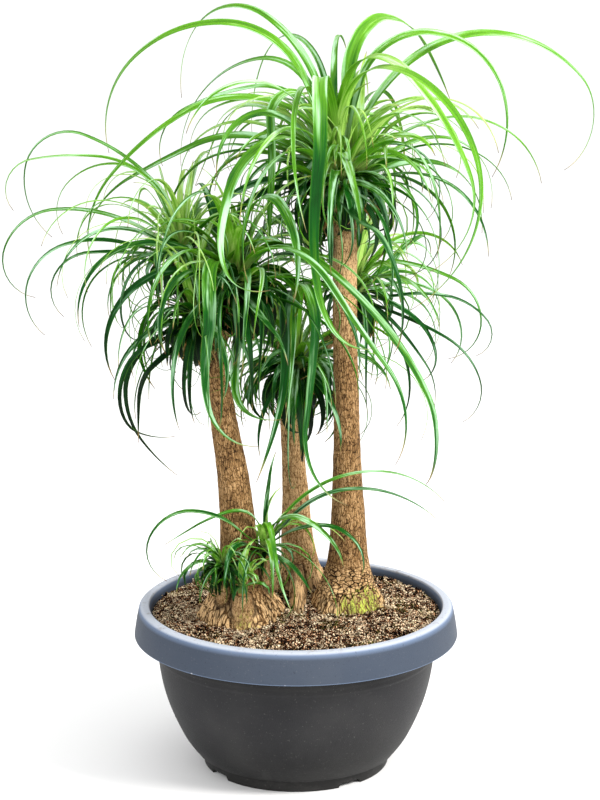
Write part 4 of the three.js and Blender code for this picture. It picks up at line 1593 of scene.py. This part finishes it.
@dataclass(frozen=True)
class Filling:
    """A kind of extra leaf, from the highest of a head to its lowest.

    Slopes and turns are degrees, lengths are radii of the head's core, and widths shares of its leaves'
    width.
    """

    seed: int
    start: Span
    end: Span
    spread: float
    bend: float
    turn: float
    length: Span
    width: Span
    tone: Span
    fine: bool = False


HEARTS = Filling(3, start=(90, 48), end=(30, -95), spread=22, bend=2.2, turn=30, length=(7, 11),
                 width=(1.2, 1.6), tone=(1.0, 0.60))
MOP = Filling(7, start=(52, -24), end=(-95, -190), spread=36, bend=1.3, turn=70, length=(4, 8),
              width=(0.75, 1.2), tone=(0.50, 0.02))
ARCS = Filling(19, start=(76, -4), end=(-80, -170), spread=50, bend=1.5, turn=80, length=(9, 16),
               width=(0.50, 0.85), tone=(0.78, 0.16))
WISPS = Filling(11, start=(76, 0), end=(-110, -230), spread=50, bend=1.4, turn=90, length=(9, 18),
                width=(0.22, 0.42), tone=(0.95, 0.50), fine=True)


class Placer:
    """Finds room for the leaves of all heads, in the order in which the solids were given theirs.

    The seed of each kind of leaf keeps its draws apart from those of the others.
    """

    PLACED_SEED = 7919
    SPIRAL_SEED = 6133
    HUSK_SEED = 2203
    HUSKS = 34

    def __init__(self) -> None:
        """Books the cores."""
        self.room = Room()
        for head in HEADS:
            x, y, z = head.root
            for height in (-head.depth + head.core, 0, head.core * 0.4):
                self.room.take(head.node, [Ball((x, y, z + height), head.core, True)])

    def find(self, head: Head, leaf_at: Callable[[int], Leaf], tries: int, apart: bool,
             most_runs: int) -> Leaf | None:
        """The first of a few tries at a leaf that is clear of every other piece.

        Args:
            head: its head.
            leaf_at: the leaf of each try.
            tries: how many tries it gets.
            apart: whether it also keeps clear of its own head's leaves.
            most_runs: straight runs in which it is tested at most.

        Returns:
            The leaf, or None where there is no room.
        """
        for attempt in range(tries):
            leaf = leaf_at(attempt)
            line = stations(head, leaf, SOLID_STEPS)
            balls = balls_along(head, line, min(most_runs, runs_of(leaf.length)), leaf.length)
            if self.room.is_free(head.node, balls, apart):
                self.room.take(head.node, balls)
                return leaf
        return None

    def main_leaves(self) -> Iterator[Growth]:
        """The leaves that the solids have too.

        Yields:
            The leaves, the placed ones of all heads first.
        """
        for head in HEADS:
            for index, leaf in enumerate(head.placed):
                found = self.find(head, partial(swung, leaf), tries=15, apart=False, most_runs=8)
                if found:
                    draws = Draws(head.seed * self.PLACED_SEED + index)
                    tone = 0.30 + found.slopes[0] / 300 + draws.jitter(0.10) + head.fresh
                    yield Growth(head, found, clamp(tone))
        for head in HEADS:
            for index in range(head.spiral):
                found = self.find(head, partial(spiral_leaf, head, index), tries=20, apart=True, most_runs=6)
                if found:
                    age = (index + 0.5) / head.spiral
                    draws = Draws(head.seed * self.SPIRAL_SEED + index)
                    yield Growth(head, found, clamp(0.84 - 0.56 * age + draws.jitter(0.12) + head.fresh))

    def clear_of_wood(self, head: Head, leaf: Leaf) -> bool:
        """Whether an extra leaf passes clear of the wood and the soil."""
        line = stations(head, leaf, SOLID_STEPS)
        return self.room.clears_wood(balls_along(head, line, EXTRA_RUNS, leaf.length))

    def extras(self, head: Head, filling: Filling, count: int) -> Iterator[Growth]:
        """Leaves of one kind that fill a head, where they pass clear of the wood.

        Args:
            head: the head.
            filling: the kind of leaf.
            count: how many to try.

        Yields:
            The leaves.
        """
        for index in range(count):
            draws = Draws((head.seed * 64 + filling.seed) * 4096 + index)
            age = (index + 0.5) / count
            start = mixed(filling.start, age) + draws.jitter(filling.spread / 2)
            end = mixed(filling.end, age) + draws.jitter(filling.spread)
            leaf = Leaf(
                index * GOLDEN_ANGLE + filling.seed * 20 + draws.jitter(20), draws.jitter(filling.turn),
                head.core * mixed(filling.length, draws.next()),
                [mixed((start, end), along ** filling.bend) for along in QUARTERS],
                head.width * mixed(filling.width, draws.next()), draws.jitter(45))
            tone = clamp(mixed(filling.tone, age) + draws.jitter(0.1) + head.fresh)
            if self.clear_of_wood(head, leaf):
                yield Growth(head, leaf, tone, fine=filling.fine)

    def husks(self) -> Iterator[Growth]:
        """Short, dried leaf bases round the foot of a head.

        Yields:
            The husks.
        """
        for head in HEADS:
            if head.is_shoot:
                continue
            foot = (head.root[0], head.root[1], head.root[2] - 0.62 * head.depth)
            lower = replace(head, root=foot, core=head.core * 2.2)
            for index in range(self.HUSKS):
                draws = Draws(head.seed * self.HUSK_SEED + index)
                slope = draws.between(-35, 30)
                leaf = Leaf(index * GOLDEN_ANGLE + draws.jitter(15), draws.jitter(20), draws.between(14, 34),
                            [slope - 60 * along for along in QUARTERS], draws.between(4, 8),
                            draws.jitter(30))
                yield Growth(lower, leaf, 0.4, draws.between(0.55, 1.0), True)


# A core from foot to top: radius as a share of the core's, height as a share of its depth or, above the
# middle, of its radius.
CORE_OUTLINE = ((0.0, -1.0), (0.72, -1.0), (0.92, -0.7), (1.0, -0.3), (1.0, 0.1), (0.8, 0.5), (0.45, 0.9),
                (0.0, 1.1))


@dataclass
class Foliage:
    """The heads of leaves, one piece for each node.

    Each blade is cut into runs, is channelled most at its root, and narrows by one of two tapers or what
    lies between them, the broad leaves latest.
    """

    run: float = 9.0
    thickness: float = 0.55
    tip: float = 0.16
    tapers: Span = (1.3, 2.6)
    least_steps: int = 5
    most_steps: int = 64
    fine_run: float = 1.5
    long_blade: float = 200.0
    channel: float = 0.42
    channel_fade: float = 0.26
    channel_curve: float = 1.6
    core_sides: int = 20
    core_rows: int = 14
    core_lobes: float = 0.06
    finish: LeafFinish = field(default_factory=LeafFinish)

    def add_blade(self, growth: Growth, bm: bmesh.types.BMesh) -> None:
        """Adds one channelled blade, as a strip that later gets its thickness.

        Args:
            growth: the leaf.
            bm: the mesh that it joins.
        """
        uv = bm.loops.layers.uv["leaf"]
        tone, dry, lift = (bm.verts.layers.float[name] for name in LEAF_NUMBERS)
        columns = 4 if growth.leaf.length > self.long_blade and not growth.fine else 2
        run = self.run * (self.fine_run if growth.fine else 1)
        steps = int(clamp(growth.leaf.length / run, self.least_steps, self.most_steps))
        broad = max(smooth(growth.leaf.width, 7, 15), smooth(growth.leaf.length, 240, 150))
        taper = mixed(self.tapers, broad)
        line = stations(growth.head, growth.leaf, steps, taper)
        made = bmesh.ops.create_grid(bm, x_segments=steps, y_segments=columns, size=1)["verts"]
        places = {vert: ((vert.co.x + 1) / 2, vert.co.y) for vert in made}
        for vert, (along, side) in places.items():
            spot = line[round(along * steps)]
            half = max(spot.half, self.tip)
            channel = (self.channel - self.channel_fade * smooth(along, 0.05, 0.5)) * half
            drop = channel * (abs(side) ** self.channel_curve - 1)
            vert.co = placed(*(p + a * side * half + o * drop
                               for p, a, o in zip(spot.point, spot.across, spot.out)))
            vert[tone] = growth.tone
            vert[dry] = growth.dry
            # how far the upper face looks up, which the leaf material turns into painted light and
            # reflection
            vert[lift] = spot.out[2]
        for face in {face for vert in made for face in vert.link_faces}:
            for loop in face.loops:
                along, side = places[loop.vert]
                loop[uv].uv = (side / 2 + 0.5, along)
            for edge in face.edges:
                edge.smooth = not edge.is_boundary

    def add_core(self, head: Head, bm: bmesh.types.BMesh) -> None:
        """Adds the short core that a head's leaves grow from.

        Args:
            head: the head.
            bm: the mesh that it joins.
        """
        tone, dry, lift = (bm.verts.layers.float[name] for name in LEAF_NUMBERS)
        grid = bmesh.ops.create_grid(bm, x_segments=self.core_sides, y_segments=self.core_rows, size=1)
        for vert in grid["verts"]:
            angle = math.pi * (vert.co.x + 1)
            radius, height = spline(CORE_OUTLINE, (vert.co.y + 1) / 2)
            drop = head.depth if height < 0 else head.core
            wide = max(radius, 0.0) * head.core * (1 + self.core_lobes * math.cos(5 * angle))
            vert[tone] = 0.45
            vert[lift] = 0.3
            vert[dry] = 0.9 if height < -0.55 else 0.0
            offset = (*polar(wide, angle), height * drop)
            vert.co = placed(*(a + b for a, b in zip(head.root, offset)))

    def build(self) -> None:
        """Makes the heads."""
        placer = Placer()
        growths = [*placer.main_leaves(), *placer.husks()]
        for head in HEADS:
            for filling, count in ((HEARTS, head.hearts), (MOP, head.mop), (ARCS, head.arcs),
                                   (WISPS, head.wisps)):
                growths += placer.extras(head, filling, count)
        log.info("%d leaves", len(growths))
        upper, under = (self.finish.build(side) for side in Side)
        for node in dict.fromkeys(head.node for head in HEADS):
            blades = [partial(self.add_blade, growth) for growth in growths if growth.head.node == node]
            strips = object_from(gathered(blades, *LEAF_NUMBERS), f"{node}_leaves", upper)
            strips.data.materials.append(under)
            shell = strips.modifiers.new("thickness", "SOLIDIFY")
            shell.thickness = self.thickness * MM
            shell.offset = -1
            shell.material_offset = 1
            applied(strips)
            cores = [partial(self.add_core, head) for head in HEADS if head.node == node]
            bm = gathered(cores, *LEAF_NUMBERS)
            bm.from_mesh(strips.data)
            bm.to_mesh(strips.data)
            bm.free()
            seated(strips, Slot.LEAF, node)


# Soil


@dataclass
class Soil:
    """The bed of coir and peat, with crumbs and fibres on it."""

    bowl: Bowl
    inset: float = 0.6
    foot: float = 10.3
    radial_steps: int = 84
    sides: int = 300
    crumbs: int = 8000
    fibres: int = 1700
    roughness: tuple[tuple[float, float], ...] = ((2.8, 0.05), (3.4, 0.12), (2.2, 0.33))
    finish: SoilFinish = field(default_factory=SoilFinish)

    def edge(self) -> float:
        """The radius of the soil's edge."""
        (inner, low), (outer, high) = self.bowl.inside()[-2:]
        return inner + (outer - inner) / (high - low) * (SOIL_EDGE - low) - self.inset

    def level(self, x: float, y: float) -> float:
        """The height of the soil's surface at a place.

        Args:
            x: the place.
            y: the place.

        Returns:
            The height.
        """
        share = math.hypot(x, y) / self.edge()
        rise = SOIL_TOP - (SOIL_TOP - SOIL_EDGE) * min(share, 1) ** 2
        wave = 2.5 * math.sin(x / 23 + 0.7) * math.sin(y / 19 + 0.4) * smooth(share, 1.0, 0.93)
        spot = Vector((x, y, 0))
        rough = sum(size * noise.noise(spot * scale) for size, scale in self.roughness)
        return rise + wave + rough * smooth(share, 1.02, 0.97)

    def bed(self) -> bmesh.types.BMesh:
        """The bed, closed below where it fills the bowl.

        Returns:
            The mesh, with its tone.
        """
        edge = self.edge()
        top = [(edge * (1 - i / self.radial_steps), SOIL_TOP) for i in range(self.radial_steps + 1)]
        wall = [(radius - self.inset, max(height, self.foot)) for radius, height in self.bowl.inside()[:-1]]
        bm = spun([(0, self.foot), *wall, *top], self.sides)
        tone = bm.verts.layers.float.new("tone")
        for vert in bm.verts:
            x, y, z = (vert.co - AXIS) / MM
            if z < SOIL_TOP - 1:
                continue
            height = self.level(x, y)
            vert.co.z = placed(0, 0, height).z
            vert[tone] = 0.36 + 0.32 * noise.noise(Vector((x, y, 0)) * 0.47) + 0.1 * noise.noise(
                Vector((x, y, 9)) * 0.05)
        return bm

    def spots(self, seed: int, count: int) -> Iterator[tuple[float, float, Draws]]:
        """Places on the soil that no wood covers.

        Args:
            seed: picks the run of draws.
            count: how many places to try.

        Yields:
            x, y and the draws for what lies there.
        """
        room = Room()
        for index in range(count):
            draws = Draws(seed * 100003 + index)
            radius = (self.edge() - 3) * math.sqrt(draws.next())
            x, y = polar(radius, 2 * math.pi * draws.next())
            if not room.in_wood(Ball((x, y, SOIL_TOP), -2, False)):
                yield x, y, draws

    def add_crumb(self, x: float, y: float, draws: Draws, bm: bmesh.types.BMesh) -> None:
        """Adds a small, uneven crumb, half sunk.

        Args:
            x: its place.
            y: its place.
            draws: settle its size, turn and tone.
            bm: the mesh that it joins.
        """
        tone = bm.verts.layers.float["tone"]
        size = 0.7 + 3.0 * draws.next() ** 3
        turn = Matrix.Rotation(draws.jitter(math.pi), 4, Vector((draws.jitter(1), draws.jitter(1), 0.7)))
        shape = Matrix.Diagonal((size * draws.between(0.9, 3.0), size * 0.8, size * draws.between(0.35, 0.8),
                                 1))
        spot = placed(x, y, self.level(x, y) + size * 0.15)
        crumb = bmesh.ops.create_icosphere(bm, subdivisions=1, radius=MM)["verts"]
        shade = draws.next()
        for number, vert in enumerate(crumb):
            vert.co *= 1 + 0.22 * math.sin(7 * number + 40 * shade)
            vert[tone] = 0.12 + 1.1 * shade ** 1.5
        bmesh.ops.transform(bm, matrix=Matrix.Translation(spot) @ turn @ shape, verts=crumb)

    def add_fibre(self, x: float, y: float, draws: Draws, bm: bmesh.types.BMesh) -> None:
        """Adds a coir fibre or small twig that lies on the soil.

        Args:
            x: its middle.
            y: its middle.
            draws: settle its length, girth, heading, bow and tone.
            bm: the mesh that it joins.
        """
        tone = bm.verts.layers.float["tone"]
        length = draws.between(5, 24)
        thick = draws.between(0.25, 0.6) * (2.0 if draws.next() > 0.93 else 1.0)
        heading = draws.jitter(math.pi)
        bow = draws.jitter(0.5)
        lift = draws.between(0.3, 2.4)
        shade = draws.between(0.35, 1.05)
        ground = self.level(x, y) + 0.6
        for vert in bmesh.ops.create_grid(bm, x_segments=4, y_segments=6, size=1)["verts"]:
            angle, along = math.pi * (vert.co.x + 1), vert.co.y
            girth = thick * (1 - along ** 4)
            turn = heading + bow * along
            sway, reach = girth * math.cos(angle), length / 2 * along
            vert.co = placed(x + reach * math.cos(turn) - sway * math.sin(turn),
                             y + reach * math.sin(turn) + sway * math.cos(turn),
                             ground + lift * (1 - along ** 2) + girth * math.sin(angle))
            vert[tone] = shade

    def build(self) -> None:
        """Makes the soil and what lies on it."""
        mix = self.finish.build()
        seated(object_from(self.bed(), "soil_bed", mix), Slot.SOIL, "soil")
        for name, add, seed, count in (("soil_crumbs", self.add_crumb, 1, self.crumbs),
                                       ("soil_fibres", self.add_fibre, 2, self.fibres)):
            jobs = [partial(add, *spot) for spot in self.spots(seed, count)]
            seated(object_from(gathered(jobs, "tone"), name, mix), Slot.SOIL)


# Studio


@dataclass
class Studio:
    """The floor, the light and the camera at the photograph's viewing angle."""

    camera_offset: Triple = (5.0, -2800.0, 1112.0)
    pitch: float = 13.1
    focal_px: float = 2370.0
    frame_px: float = 800.0
    sensor: float = 36.0
    aim_height: float = 0.45
    floor_size: float = 30.0

    def add_light(self, name: str, place: Triple, size: float, power: float, colour: Triple) -> None:
        """Adds a soft square light that faces the plant.

        Args:
            name: its name.
            place: metres from the bowl's axis and underside.
            size: its width in metres.
            power: its power in watts.
            colour: its colour.
        """
        lamp = bpy.data.lights.new(name, "AREA")
        lamp.shape = "SQUARE"
        lamp.size = size
        lamp.energy = power
        lamp.color = colour
        holder = bpy.data.objects.new(name, lamp)
        spot = AXIS + Vector(place)
        aim = AXIS + Vector((0, 0, self.aim_height)) - spot
        holder.matrix_world = Matrix.Translation(spot) @ aim.to_track_quat("-Z", "Y").to_matrix().to_4x4()
        bpy.context.scene.collection.objects.link(holder)

    def sky(self) -> bpy.types.World:
        """Soft light that comes mostly from above, behind a plain white backdrop.

        Returns:
            The world.
        """
        shade = Shading(bpy.data.worlds.new("soft_sky"))
        _, _, up = shade.split(shade.add("ShaderNodeTexCoord", output="Generated"))
        light = shade.add("ShaderNodeBackground", {}, {
            "Color": shade.ramp(up, (0.0, (0.22, 0.22, 0.22, 1)), (0.35, (0.48, 0.48, 0.48, 1)),
                                (1.0, (1, 1, 1, 1))),
            "Strength": 1.7,
        })
        backdrop = shade.add("ShaderNodeBackground", {}, {"Color": (1, 1, 1, 1)})
        seen = shade.add("ShaderNodeLightPath", output="Is Camera Ray")
        return shade.finish(shade.add("ShaderNodeMixShader", {}, {0: seen, 1: light, 2: backdrop}))

    def build(self) -> None:
        """Sets the stage."""
        bm = bmesh.new()
        bmesh.ops.create_grid(bm, x_segments=1, y_segments=1, size=self.floor_size)
        floor = object_from(bm, "floor", FloorFinish().build())
        scene = bpy.context.scene
        scene.view_settings.view_transform = "Standard"
        scene.world = self.sky()
        self.add_light("key", (2.1, -1.2, 2.1), size=0.9, power=120, colour=(1.0, 0.98, 0.95))
        self.add_light("fill", (-1.8, -2.6, 1.3), size=2.0, power=40, colour=(1.0, 1.0, 1.0))
        lens = bpy.data.cameras.new("camera")
        lens.sensor_width = self.sensor
        lens.lens = self.focal_px / self.frame_px * self.sensor
        lens.clip_end = 100
        camera = bpy.data.objects.new("camera", lens)
        camera.location = placed(*self.camera_offset)
        camera.rotation_euler = (math.radians(90 - self.pitch), 0, 0)
        scene.collection.objects.link(camera)
        scene.camera = camera


def main() -> None:
    """Builds the palm."""
    logging.basicConfig(level=logging.INFO, format="%(name)s: %(message)s")
    Studio().build()
    bowl = Bowl()
    bowl.build()
    Soil(bowl).build()
    Wood().build()
    Foliage().build()


if __name__ == "__main__":
    main()
